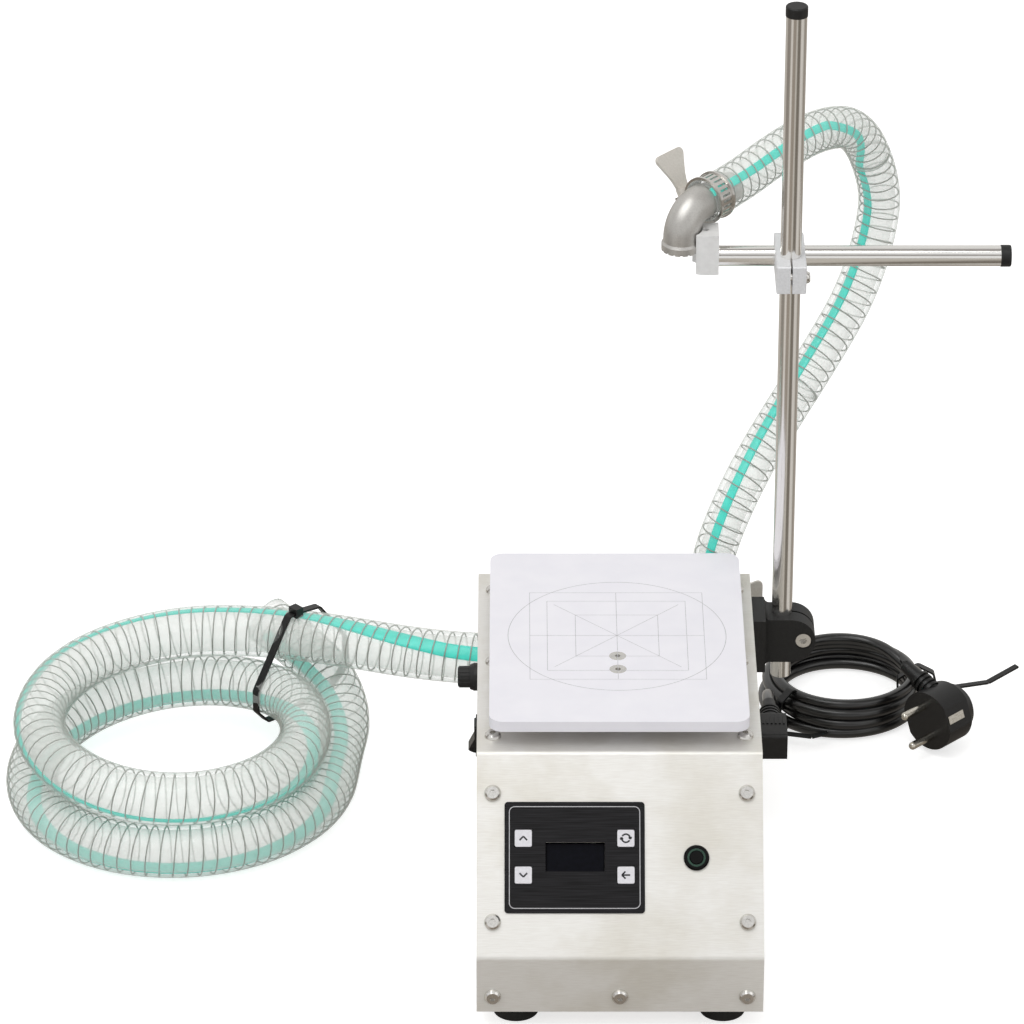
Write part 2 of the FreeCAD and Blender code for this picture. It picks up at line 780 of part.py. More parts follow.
def make_fuse_holder():
    """Panel fuse holder with a grooved bayonet cap."""
    well = fuse_spigot_width / 2 + running_gap
    holder = revolve_profile([(0, -fuse_body_length), (fuse_body_width / 2, -fuse_body_length),
                              (fuse_body_width / 2, 0), (fuse_flange_width / 2, 0),
                              (fuse_flange_width / 2, fuse_flange_rise * 0.5),
                              (fuse_flange_width / 2 - 1, fuse_flange_rise), (0, fuse_flange_rise)])
    holder = holder.cut(disc(well, fuse_flange_rise - fuse_spigot_length - 1, fuse_flange_rise + 1))
    add("fuse_holder", on_left(holder, side_fitting_y, fuse_height))
    low = fuse_flange_rise + face_clearance
    cap = revolve_profile([(0, low - fuse_spigot_length), (fuse_spigot_width / 2, low - fuse_spigot_length),
                           (fuse_spigot_width / 2, low), (fuse_cap_width / 2, low),
                           (fuse_cap_width / 2, low + fuse_cap_rise - 1),
                           (fuse_cap_width / 2 - 1, low + fuse_cap_rise), (0, low + fuse_cap_rise)])
    grooves = []
    for index in range(fuse_grooves):
        angle = 2 * math.pi * index / fuse_grooves
        reach = fuse_cap_width / 2 + fuse_groove_width / 4
        grooves.append(disc(fuse_groove_width / 2, low, low + fuse_cap_rise + 1,
                            reach * math.cos(angle), reach * math.sin(angle)))
    add("fuse_cap", on_left(cap.cut(Part.makeCompound(grooves)), side_fitting_y, fuse_height))


def inlet_pin_places():
    low, high = inlet_pin_rows
    return [(-inlet_pin_spacing, low), (inlet_pin_spacing, low), (0, high)]


def make_inlet():
    """Panel inlet with three flat pins."""
    flange = rounded_block(inlet_flange[0], inlet_flange[1], 0, inlet_flange_rise, 4.0)
    mouth = [size + 2 * inlet_wall for size in inlet_mouth]
    body = block(mouth[0], mouth[1], -inlet_depth, 0)
    cavity = block(inlet_mouth[0], inlet_mouth[1], inlet_wall - inlet_depth, inlet_flange_rise + 1)
    shell = fuse_all([flange, body]).cut(cavity)
    for side in (-1, 1):
        at = side * inlet_screw_spacing / 2
        hole = disc(inlet_screw_size / 2, -1, inlet_flange_rise + 1, at, 0)
        cone = Part.makeCone(inlet_screw_size / 2, inlet_screw_size, inlet_flange_rise, vec(at, 0, 0),
                             Z_AXIS)
        shell = shell.cut(hole).cut(cone)
    pins = []
    for x, y in inlet_pin_places():
        pins.append(block(*inlet_pin, inlet_wall - inlet_depth - 0.5, inlet_pin_length - inlet_depth, x, y))
    add("mains_inlet", on_right(fuse_all([shell] + pins), inlet_y, inlet_height))


def ribbed_relief(start, end):
    """A tapered strain relief with ribs round its wider part."""
    run = end - start
    relief = Part.makeCone(relief_start_width / 2, relief_end_width / 2, run.Length, start, run)
    way = (end - start).normalize()
    ribs = []
    for index in range(relief_ribs):
        at = start + way * (relief_rib_pitch * (index + 1))
        ribs.append(rod(relief_start_width / 2 + relief_rib_rise, at, at + way * (relief_rib_pitch / 2)))
    return fuse_all([relief] + ribs)


def make_connector():
    """Angled mains connector: nose in the inlet, moulded body with grip lines, relief to the rear."""
    low = inlet_flange_rise
    high = low + connector_depth
    nose = block(connector_nose[0], connector_nose[1], low - connector_nose_length, low + 1)
    for x, y in inlet_pin_places():
        nose = nose.cut(block(inlet_pin[0] + pin_clearance, inlet_pin[1] + pin_clearance, low - inlet_depth,
                              low + 1, x, y))
    body = rounded_block(connector_body[0], connector_body[1], low, high, connector_corner)
    pieces = [nose, body]
    for index in range(grip_lines):
        line_low = high - grip_pitch * (index + 1)
        pieces.append(block(connector_body[0] / 3, 2 * grip_rise, line_low, line_low + grip_pitch / 2,
                            connector_body[0] / 6, connector_body[1] / 2))
    start = vec(connector_body[0] / 2 - 1, 0, low + connector_depth * 0.55)
    end = start + vec(relief_length + 1, 0, 0)
    pieces.append(ribbed_relief(start, end))
    add("mains_connector", on_right(fuse_all(pieces), inlet_y, inlet_height))
    soft_nodes.append("mains_connector")
    return on_right(Part.Vertex(end), inlet_y, inlet_height).Point


def make_weighing():
    """Weighing plate on a bending-beam load cell that hangs under the cabinet's top."""
    loaded, fixed = cell_screw_rows()
    low = cell_top - cell_width
    beam = Part.makeBox(cell_width, cell_length, cell_width,
                        vec(-cell_width / 2, cell_centre_y - cell_length / 2, low))
    middle = low + cell_width / 2
    holes = []
    for side in (-1, 1):
        at = cell_centre_y + side * cell_hole_pitch / 2
        holes.append(Part.makeCylinder(cell_hole / 2, cell_width, vec(-cell_width / 2, at, middle), X_AXIS))
    slot_corner = vec(-cell_width / 2, cell_centre_y - cell_hole_pitch / 2, middle - cell_hole / 6)
    holes.append(Part.makeBox(cell_width, cell_hole_pitch, cell_hole / 3, slot_corner))
    for y in loaded + fixed:
        holes.append(disc(case_screw_size / 2, low, cell_top, 0, y))
    add("load_cell", beam.cut(Part.makeCompound(holes)))
    spacer_length = cell_screw_pitch + 2 * cell_end_inset
    loaded_spacer = block(cell_width, spacer_length, cell_top, plate_bottom, 0, sum(loaded) / 2)
    fixed_spacer = block(cell_width, spacer_length, cell_top, cabinet_top - sheet, 0, sum(fixed) / 2)
    drills = [disc(case_screw_size / 2, cell_top, plate_bottom, 0, y) for y in loaded + fixed]
    drills = Part.makeCompound(drills)
    add("cell_spacers", loaded_spacer.cut(drills), fixed_spacer.cut(drills))
    plate = rounded_block(plate_width, plate_depth, plate_bottom, plate_top, plate_corner, 0, plate_centre_y)
    for y in loaded:
        sink = Part.makeCone(case_screw_size / 2, plate_screw_head / 2, countersink_depth,
                             vec(0, y, plate_top - countersink_depth), Z_AXIS)
        plate = plate.cut(sink).cut(disc(case_screw_size / 2, plate_bottom, plate_top, 0, y))
    add("weighing_plate", plate)


def make_countersunk_screws():
    """The plate's two visible screws and the mains inlet's two."""
    loaded, _ = cell_screw_rows()
    long_screw = flat_screw(case_screw_size, plate_screw_head, countersink_depth,
                            plate_top - cell_top + cell_width / 2)
    screws = [seat(long_screw, vec(0, y, plate_top), X_AXIS, Y_AXIS) for y in loaded]
    short = flat_screw(inlet_screw_size, 2 * inlet_screw_size, inlet_flange_rise, case_screw_length)
    short.translate(vec(0, 0, inlet_flange_rise))
    for side in (-1, 1):
        moved = short.copy()
        moved.translate(vec(side * inlet_screw_spacing / 2, 0, 0))
        screws.append(on_right(moved, inlet_y, inlet_height))
    add("countersunk_screws", *screws)


def make_inner_screws():
    """Screws under the cabinet and under the weighing plate: feet, load cell and pole bracket."""
    _, fixed = cell_screw_rows()
    screw = button_screw(case_screw_size, case_screw_head, case_screw_rise, case_screw_length)
    cell_screw = button_screw(case_screw_size, case_screw_head, case_screw_rise,
                              sheet + cell_drop + cell_width / 2)
    screws = [seat(cell_screw, vec(0, y, cabinet_top), X_AXIS, Y_AXIS) for y in fixed]
    for x, y in foot_places():
        long_screw = button_screw(case_screw_size, case_screw_head, case_screw_rise,
                                  foot_height - foot_recess_depth + sheet + 3)
        screws.append(seat(long_screw, vec(x, y, foot_recess_depth), X_AXIS, -Y_AXIS))
    for side in (-1, 1):
        at = vec(half_width - sheet, bracket_flange_y, bracket_height + side * bracket_screw_spacing / 2)
        screws.append(seat(screw, at, -Y_AXIS, Z_AXIS))
    add("inner_screws", *screws)


def make_supply():
    """Closed switch-mode power supply on four bosses."""
    wide, deep, high = supply_size
    low = foot_height + sheet
    y = supply_front + deep / 2
    top = low + supply_boss + high
    body = rounded_block(wide, deep, low + supply_boss, top, supply_corner, 0, y)
    vents = []
    for index in range(supply_vents):
        x = (index - (supply_vents - 1) / 2) * wide / (supply_vents + 2)
        vents.append(block(vent_width, deep * 0.6, top - vent_depth, top + 1, x, y))
    pieces = [body.cut(Part.makeCompound(vents))]
    for x in (-wide / 2 + 2 * supply_boss, wide / 2 - 2 * supply_boss):
        for step in (-deep / 2 + 2 * supply_boss, deep / 2 - 2 * supply_boss):
            pieces.append(disc(supply_boss, low, low + supply_boss, x, y + step))
    add("power_supply", fuse_all(pieces))


def make_motor():
    """Gear motor with a hollow output shaft that takes the pump's drive shaft."""
    face = cabinet_depth - sheet
    gearbox = rod(gearbox_width / 2, vec(0, face, drive_height), vec(0, face - gearbox_length, drive_height))
    plate = Part.makeBox(pump_width, pump_back_wall, pump_height,
                         vec(-pump_width / 2, face - pump_back_wall, port_height - pump_height / 2))
    tail = face - gearbox_length
    motor = rod(motor_width / 2, vec(0, tail, drive_height), vec(0, tail - motor_length, drive_height))
    bearing = rod(motor_width / 4, vec(0, tail - motor_length, drive_height),
                  vec(0, tail - motor_length - 4, drive_height))
    bore = rod(shaft_width / 2 + running_gap, vec(0, face + 1, drive_height),
               vec(0, face - shaft_into_motor - 1, drive_height))
    body = fuse_all([plate, gearbox, motor, bearing]).cut(bore)
    for x, z in pump_screw_places():
        body = body.cut(rod(pump_screw_size / 2, vec(x, face + 1, z), vec(x, face - pump_back_wall - 1, z)))
    add("gear_motor", body)


def involute_point(base, angle):
    return (base * (math.cos(angle) + angle * math.sin(angle)),
            base * (math.sin(angle) - angle * math.cos(angle)))


def gear_section():
    """Involute gear outline about the origin, with one tooth centred on +X."""
    pitch = gear_pitch / 2
    base = pitch * math.cos(math.radians(gear_pressure_angle))
    spread = math.tan(math.radians(gear_pressure_angle)) - math.radians(gear_pressure_angle)
    half_tooth = math.pi / (2 * gear_teeth) + spread - gear_backlash / pitch
    steps = 4
    roll = math.sqrt((gear_tip / base) ** 2 - 1)
    flank = [involute_point(base, roll * k / steps) for k in range(steps + 1)]
    lower = [(x * math.cos(-half_tooth) - y * math.sin(-half_tooth),
              x * math.sin(-half_tooth) + y * math.cos(-half_tooth)) for x, y in flank]
    foot = (gear_root * math.cos(half_tooth), -gear_root * math.sin(half_tooth))
    tooth = [foot] + lower + [(x, -y) for x, y in reversed(lower)] + [(foot[0], -foot[1])]
    corners = []
    for index in range(gear_teeth):
        turn = 2 * math.pi * index / gear_teeth
        for x, y in tooth:
            corners.append(vec(x * math.cos(turn) - y * math.sin(turn),
                               x * math.sin(turn) + y * math.cos(turn), 0))
    return Part.Face(Part.makePolygon(corners + corners[:1]))


def make_gears():
    """Two meshing gears with their shafts. The upper one is driven by the motor."""
    front = cabinet_depth + pump_back_wall + face_clearance
    rear = front + gear_width
    gear = gear_section().extrude(vec(0, 0, gear_width))
    turned_down = gear.copy()
    turned_down.rotate(vec(0, 0, 0), Z_AXIS, -90)
    gap_up = gear.copy()
    gap_up.rotate(vec(0, 0, 0), Z_AXIS, 90 + 180 / gear_teeth)
    shaft_end = rear + shaft_into_cover
    drive = seat(turned_down, vec(0, rear, drive_height), X_AXIS, Z_AXIS)
    drive_shaft = rod(shaft_width / 2, vec(0, cabinet_depth - sheet - shaft_into_motor, drive_height),
                      vec(0, shaft_end, drive_height))
    add("drive_gear", drive.fuse(drive_shaft))
    driven = seat(gap_up, vec(0, rear, driven_height), X_AXIS, Z_AXIS)
    shaft_front = cabinet_depth + pump_back_wall - shaft_into_cover
    driven_shaft = rod(shaft_width / 2, vec(0, shaft_front, driven_height), vec(0, shaft_end, driven_height))
    add("driven_gear", driven.fuse(driven_shaft))


def make_pump():
    """Pump body with its figure-of-eight chamber and side ports, its cover, and the socket screws."""
    outline = rounded_block(pump_width, pump_height, 0, pump_depth, pump_corner)
    body = on_rear(outline, 0, port_height)
    floor = cabinet_depth + pump_back_wall
    cuts = []
    for z in (drive_height, driven_height):
        cuts.append(rod(gear_tip + tip_clearance, vec(0, floor, z), vec(0, floor + chamber_depth + 1, z)))
    cuts.append(rod(shaft_width / 2 + running_gap, vec(0, cabinet_depth - 1, drive_height),
                    vec(0, floor + 1, drive_height)))
    cuts.append(rod(shaft_width / 2 + running_gap, vec(0, floor - shaft_into_cover - 1, driven_height),
                    vec(0, floor + 1, driven_height)))
    cuts.append(rod(port_width / 2, vec(-pump_width, port_y, port_height),
                    vec(pump_width, port_y, port_height)))
    edge = pump_width / 2
    for side in (-1, 1):
        cuts.append(rod(port_thread_width / 2, vec(side * (edge - port_thread_length), port_y, port_height),
                        vec(side * (edge + 1), port_y, port_height)))
    bolt_holes = [rod(pump_screw_size / 2, vec(x, cabinet_depth - 1, z),
                      vec(x, cabinet_depth + pump_depth + pump_cover_thickness + 1, z))
                  for x, z in pump_screw_places()]
    add("pump_body", body.cut(Part.makeCompound(cuts)).cut(Part.makeCompound(bolt_holes)))
    lid = rounded_block(pump_width, pump_height, pump_depth, pump_depth + pump_cover_thickness, pump_corner)
    lid = lid.makeFillet(1.0, [edge for edge in lid.Edges if min(v.Z for v in edge.Vertexes) >
                               pump_depth + pump_cover_thickness - 0.1])
    cover = on_rear(lid, 0, port_height)
    seats = [rod(shaft_width / 2 + running_gap, vec(0, floor + chamber_depth - 1, z),
                 vec(0, floor + chamber_depth + shaft_into_cover, z)) for z in (drive_height, driven_height)]
    add("pump_cover", cover.cut(Part.makeCompound(seats + bolt_holes)))
    outside = cabinet_depth + pump_depth + pump_cover_thickness
    screw = socket_screw(pump_screw_size, pump_screw_head, pump_screw_head_height,
                         outside - cabinet_depth + sheet + pump_back_wall)
    screws = []
    for x, z in pump_screw_places():
        screws.append(seat(screw, vec(x, outside, z), -X_AXIS, Z_AXIS))
    front = pole_y - bracket_block_depth / 2
    bolt = socket_screw(clamp_bolt_size, clamp_bolt_head, clamp_bolt_recess - 0.6,
                        bracket_block_depth - clamp_bolt_recess)
    screws.append(seat(bolt, vec(clamp_bolt_x, front + clamp_bolt_recess, bracket_height), X_AXIS, Z_AXIS))
    add("socket_screws", *screws)


def barb_tube(bore, length):
    """Ribbed hose tail along Z that fits a hose bore, with its own passage."""
    outer = bore / 2 - hose_gap
    pitch = length / barb_count
    points = [(outer - barb_rise, 0)]
    for index in range(barb_count):
        points.append((outer - barb_rise, pitch * (index + 0.35)))
        points.append((outer, pitch * (index + 0.35)))
        points.append((outer - barb_rise, pitch * (index + 1)))
    points.append((outer - barb_wall, length))
    points.append((outer - barb_wall, 0))
    return revolve_profile(points)


def make_pump_fittings():
    """Straight suction tail on the left port and a bent delivery tail on the right port."""
    edge = pump_width / 2
    thread = disc(port_thread_width / 2, -port_thread_length, 0)
    nut = hexagon(suction_nut_width, 0, hex_length)
    tail = barb_tube(suction_bore, suction_barb_length)
    tail.translate(vec(0, 0, hex_length))
    passage = disc(port_width / 2, -port_thread_length - 1, hex_length + 1)
    straight = fuse_all([thread, nut]).cut(passage).fuse(tail)
    add("suction_fitting", seat(straight, vec(-edge, port_y, port_height), Z_AXIS, Y_AXIS))
    bend_start = elbow_leg_x - elbow_bend
    radius = delivery_bore / 2
    inner = radius - barb_wall
    top = port_height + elbow_bend
    shoulder = top + shoulder_height
    legs = []
    for size, stub_start, leg_top in ((radius, edge, shoulder), (inner, edge + hex_length / 2, shoulder + 1)):
        circle = Part.Face(Part.Wire(Part.makeCircle(size, vec(bend_start, port_y, port_height), X_AXIS)))
        bend = circle.revolve(vec(bend_start, port_y, top), -Y_AXIS, 90)
        stub = rod(size, vec(stub_start, port_y, port_height), vec(bend_start, port_y, port_height))
        legs.append([stub, bend, disc(size, top, leg_top, elbow_leg_x, port_y)])
    outside, hollow = legs
    outside.append(rod(port_thread_width / 2, vec(edge - port_thread_length, port_y, port_height),
                       vec(edge + 1, port_y, port_height)))
    nut = hexagon(delivery_width, 0, hex_length)
    outside.append(seat(nut, vec(edge, port_y, port_height), Y_AXIS, Z_AXIS))
    outside.append(disc(delivery_width / 2, top, shoulder, elbow_leg_x, port_y))
    hollow.append(rod(port_width / 2, vec(edge - port_thread_length - 1, port_y, port_height),
                      vec(edge + hex_length, port_y, port_height)))
    body = fuse_all(outside).cut(fuse_all(hollow))
    tail = barb_tube(delivery_bore, delivery_barb_length)
    tail.translate(vec(elbow_leg_x, port_y, shoulder))
    add("delivery_fitting", fuse_all([body, tail]))
    return vec(-edge - hex_length, port_y, port_height), vec(elbow_leg_x, port_y, shoulder)


def wing_key():
    """Worm screw with a flat fish-tail wing, its axis along Z and its middle at the origin."""
    half = housing_size[2] / 2
    head_low = half + running_gap
    low = head_low + worm_head_length / 2
    high = low + wing_length
    screw = disc(worm_width / 2, -half, half)
    neck = disc(worm_width / 2, half, head_low)
    head = disc(worm_head_width / 2, head_low, head_low + worm_head_length)
    corners = [vec(0, 0, low), vec(wing_neck / 2, 0, low), vec(wing_waist / 2, 0, low + wing_length / 3),
               vec(wing_span / 2, 0, high), vec(0, 0, high)]
    edges = corner_path(corners, [1.0, wing_sweep, wing_corner])
    left = [edge.mirror(vec(0, 0, 0), X_AXIS) for edge in edges]
    outline = Part.Wire(Part.__sortEdges__(edges + left))
    plate = Part.Face(outline).extrude(vec(0, wing_thickness, 0))
    plate.translate(vec(0, -wing_thickness / 2, 0))
    return fuse_all([screw, neck, head, plate])


def clamp_band(hose_radius):
    """Slotted band and screw housing about the Z axis, with the housing on +X and its screw along Y."""
    outer = hose_radius + band_thickness
    rim = hose_radius + band_rim
    end = band_width / 2
    flat = end - band_rim
    ring = revolve_profile([(hose_radius, -end), (rim, -end), (rim, -flat), (outer, -flat), (outer, flat),
                            (rim, flat), (rim, end), (hose_radius, end)])
    count = int(slotted_share * 2 * math.pi * outer / slot_pitch)
    slots = []
    for index in range(count):
        angle = 180 + math.degrees((index - (count - 1) / 2) * slot_pitch / outer)
        slot = Part.makeBox(2 * band_rim, slot_width, slot_length,
                            vec(hose_radius - band_thickness, -slot_width / 2, -slot_length / 2))
        slot.rotate(vec(0, 0, 0), Z_AXIS, angle)
        slots.append(slot)
    ring = ring.cut(Part.makeCompound(slots))
    axis = outer + worm_height
    deep, high, long = housing_size
    shell = Part.makeBox(high, long, deep, vec(outer - band_thickness, -long / 2, -deep / 2))
    upper = [edge for edge in shell.Edges if min(v.X for v in edge.Vertexes) > outer + 1]
    shell = shell.makeFillet(housing_corner, upper)
    bore = Part.makeCylinder(worm_width / 2 + running_gap, long + 2, vec(axis, -long / 2 - 1, 0), Y_AXIS)
    shell = shell.cut(disc(hose_radius, -deep, deep))
    return fuse_all([ring, shell]).cut(bore), axis


def make_clamp(name, hose_radius, centre, hose_axis, outward):
    """One hose clamp: its band round the hose, and its wing key on the screw's axis."""
    band, reach = clamp_band(hose_radius)
    along = hose_axis.cross(outward)
    add(name + "_band", seat(band, centre, outward, along))
    add(name + "_key", seat(wing_key(), centre + outward * reach, hose_axis, outward))
    return centre + outward * reach, along


def make_bracket():
    """Moulded pole bracket: flange on the wall, split block with a rounded end, bore and bolt."""
    thick, deep, high = bracket_flange
    flange = Part.makeBox(thick, deep, high,
                          vec(half_width, bracket_flange_y - deep / 2, bracket_height - high / 2))
    end_radius = bracket_block_height / 2
    end_x = half_width + bracket_reach - end_radius
    front = pole_y - bracket_block_depth / 2
    rear = front + bracket_block_depth
    web = Part.makeBox(end_x - half_width, bracket_block_depth, bracket_block_height,
                       vec(half_width, front, bracket_height - end_radius))
    nose = rod(end_radius, vec(end_x, front, bracket_height), vec(end_x, rear, bracket_height))
    corners = []
    for side in (-1, 1):
        at = vec(half_width + thick, front, bracket_height + side * end_radius)
        square = Part.makePolygon([at - vec(1, 0, side), at + vec(bracket_fillet, 0, -side),
                                   at + vec(bracket_fillet, 0, 0), at + vec(0, 0, side * bracket_fillet),
                                   at + vec(-1, 0, side * bracket_fillet), at - vec(1, 0, side)])
        corner = Part.Face(square).extrude(vec(0, bracket_block_depth, 0))
        hollow = at + vec(bracket_fillet, 0, side * bracket_fillet)
        corners.append(corner.cut(rod(bracket_fillet, hollow, hollow + vec(0, bracket_block_depth, 0))))
    body = fuse_all([flange, web, nose] + corners)
    bore_low = bracket_height - end_radius - 1
    bore_high = bracket_height + end_radius + 1
    cuts = [disc(pole_width / 2 + running_gap, bore_low, bore_high, pole_x, pole_y)]
    cuts.append(Part.makeBox(bracket_reach, bracket_slit, high,
                             vec(pole_x, pole_y - bracket_slit / 2, bracket_height - high / 2)))
    cuts.append(rod(clamp_bolt_size / 2, vec(clamp_bolt_x, front - 1, bracket_height),
                    vec(clamp_bolt_x, rear + 1, bracket_height)))
    cuts.append(rod(clamp_bolt_head / 2 + bolt_head_gap, vec(clamp_bolt_x, front - 1, bracket_height),
                    vec(clamp_bolt_x, front + clamp_bolt_recess, bracket_height)))
    for side in (-1, 1):
        z = bracket_height + side * bracket_screw_spacing / 2
        cuts.append(rod(case_screw_size / 2, vec(half_width - 1, bracket_flange_y, z),
                        vec(half_width + case_screw_length, bracket_flange_y, z)))
    add("pole_bracket", body.cut(Part.makeCompound(cuts)))


def end_cap(low):
    """Plastic cap with a plug that fills the tube's end."""
    plug = disc(pole_width / 2 - pole_wall, low - end_cap_plug, low)
    head = Part.makeCylinder(pole_width / 2 + end_cap_rim, end_cap_rise, vec(0, 0, low), Z_AXIS)
    top = [edge for edge in head.Edges if len(edge.Vertexes) == 1 and edge.Vertexes[0].Z > low + 1]
    return head.makeFillet(1.0, top).fuse(plug)


def make_stand():
    """Pole, cross clamp and arm tube, with their caps and screws."""
    inner = pole_width / 2 - pole_wall
    pole = disc(pole_width / 2, pole_bottom, pole_top, pole_x, pole_y)
    add("pole", pole.cut(disc(inner, pole_bottom - 1, pole_top + 1, pole_x, pole_y)))
    add("pole_cap", seat(end_cap(pole_top), vec(pole_x, pole_y, 0), X_AXIS, Y_AXIS))
    wide, deep, high = cross_block
    cross = block(wide, deep, cross_height - high / 2, cross_height + high / 2, pole_x,
                  cross_front + deep / 2)
    cross = cross.makeChamfer(cross_chamfer, cross.Edges)
    fit = pole_width / 2 + running_gap
    cuts = [disc(fit, cross_height - high, cross_height + high, pole_x, pole_y)]
    cuts.append(rod(fit, vec(pole_x - wide, arm_y, arm_height), vec(pole_x + wide, arm_y, arm_height)))
    cuts.append(Part.makeBox(cross_slit, pole_y - cross_front, 2 * high,
                             vec(pole_x - cross_slit / 2, cross_front - 1, cross_height - high)))
    cuts.append(Part.makeBox(2 * wide, cross_front + deep - arm_y + 1, cross_slit,
                             vec(pole_x - wide, arm_y, arm_height - cross_slit / 2)))
    front_y = cross_front + cross_screw_inset
    right_x = pole_x + wide / 2
    cuts.append(rod(cross_screw_size / 2, vec(right_x + 1 - wide, front_y, cross_height),
                    vec(right_x + 1, front_y, cross_height)))
    add("cross_clamp", cross.cut(Part.makeCompound(cuts)))
    screw = button_screw(cross_screw_size, cross_screw_head, cross_screw_rise, wide - 2)
    add("cross_clamp_screw", seat(screw, vec(right_x, front_y, cross_height), Y_AXIS, Z_AXIS))
    tube = rod(pole_width / 2, vec(arm_left, arm_y, arm_height), vec(arm_right, arm_y, arm_height))
    bore = rod(inner, vec(arm_left - 1, arm_y, arm_height), vec(arm_right + 1, arm_y, arm_height))
    add("arm_tube", tube.cut(bore))
    add("arm_cap", seat(end_cap(0), vec(arm_right, arm_y, arm_height), Y_AXIS, Z_AXIS))


def nozzle_direction():
    turn = math.radians(nozzle_turn)
    return vec(math.cos(turn), math.sin(turn), 0)


def make_nozzle():
    """Cast elbow with a notched lip round its outlet and a hose tail, and the holder on the arm's end."""
    away = nozzle_direction()
    bend_low = nozzle_axis_height - nozzle_bend
    centre = vec(nozzle_x, arm_y, bend_low)
    pivot = centre + away * nozzle_bend
    turn_axis = vec(0, 0, 1).cross(away)
    leg_start = pivot + vec(0, 0, nozzle_bend)
    leg_end = leg_start + away * nozzle_leg_length
    pipes = []
    for radius, low in ((elbow_width / 2, nozzle_bottom), (elbow_bore / 2, nozzle_bottom - 1),
                        (lip_width / 2 + saddle_gap, holder_bottom - 1)):
        circle = Part.Face(Part.Wire(Part.makeCircle(radius, centre, Z_AXIS)))
        pipes.append([disc(radius, low, bend_low, nozzle_x, arm_y), circle.revolve(pivot, turn_axis, 90),
                      rod(radius, leg_start, leg_end)])
    outside, passage, clearance = pipes
    lip_top = nozzle_bottom + lip_height
    outside.append(disc(lip_width / 2, nozzle_bottom, lip_top, nozzle_x, arm_y))
    outside.append(Part.makeCone(lip_width / 2, elbow_width / 2, lip_taper, vec(nozzle_x, arm_y, lip_top),
                                 Z_AXIS))
    elbow = fuse_all(outside).cut(fuse_all(passage))
    notches = []
    for index in range(lip_notches):
        notch = Part.makeBox(lip_width, notch_width, 2 * notch_depth,
                             vec(lip_width / 2 - notch_depth, -notch_width / 2, -notch_depth))
        notch.rotate(vec(0, 0, 0), Z_AXIS, 360 * index / lip_notches)
        notch.translate(vec(nozzle_x, arm_y, nozzle_bottom))
        notches.append(notch)
    elbow = elbow.cut(Part.makeCompound(notches))
    tail = seat(barb_tube(delivery_bore, delivery_barb_length), leg_end, vec(-away.y, away.x, 0), Z_AXIS)
    add("nozzle_elbow", fuse_all([elbow, tail]))
    front = arm_y - holder_depth / 2
    rear = arm_y + holder_depth / 2
    corners = [vec(holder_right, front, holder_bottom), vec(holder_left, front, holder_bottom),
               vec(holder_left, rear, holder_bottom), vec(holder_right, rear, holder_bottom)]
    edges = corner_path(corners, [holder_corner, holder_corner / 4])
    edges.append(Part.LineSegment(corners[-1], corners[0]).toShape())
    outline = Part.Face(Part.Wire(Part.__sortEdges__(edges)))
    holder = outline.extrude(vec(0, 0, holder_top - holder_bottom)).cut(fuse_all(clearance))
    holder = holder.cut(rod(pole_width / 2, vec(holder_left - 1, arm_y, arm_height),
                            vec(holder_right + 1, arm_y, arm_height)))
    screw_x = holder_right - holder_screw_inset
    hole = disc(holder_screw_size / 2, arm_height, holder_top + 1, screw_x, arm_y)
    add("nozzle_holder", holder.cut(hole))
    grub_top = holder_top - holder_screw_size / 2
    grub = disc(holder_screw_size / 2, arm_height + pole_width / 2, grub_top, screw_x, arm_y)
    socket = hexagon(holder_screw_size / 2, grub_top - holder_screw_size / 2, holder_top, screw_x, arm_y)
    add("holder_screw", grub.cut(socket))
    return leg_end, away


def cord_radii(points):
    """Arc radius at each inner point of a route: 0.45 of the shorter run over tan of half the turn."""
    radii = []
    for index in range(1, len(points) - 1):
        before = points[index - 1] - points[index]
        after = points[index + 1] - points[index]
        turn = math.pi - before.getAngle(after)
        radii.append(0.45 * min(before.Length, after.Length) / math.tan(turn / 2))
    return radii


def cord_tube(name, points, diameter):
    """A cord's solid: straight runs joined by tangent arcs, swept with a round section."""
    radii = cord_radii(points)
    path = Part.Wire(corner_path(points, radii))
    start = points[0]
    circle = Part.Wire(Part.makeCircle(diameter / 2, start, points[1] - start))
    tube = path.makePipeShell([circle], True, False)
    expected = math.pi * diameter ** 2 / 4 * path.Length
    print(name, "length", round(path.Length, 1), "smallest radius", round(min(radii), 1),
          "volume share", round(tube.Volume / expected, 4), "valid", tube.isValid())
    return tube


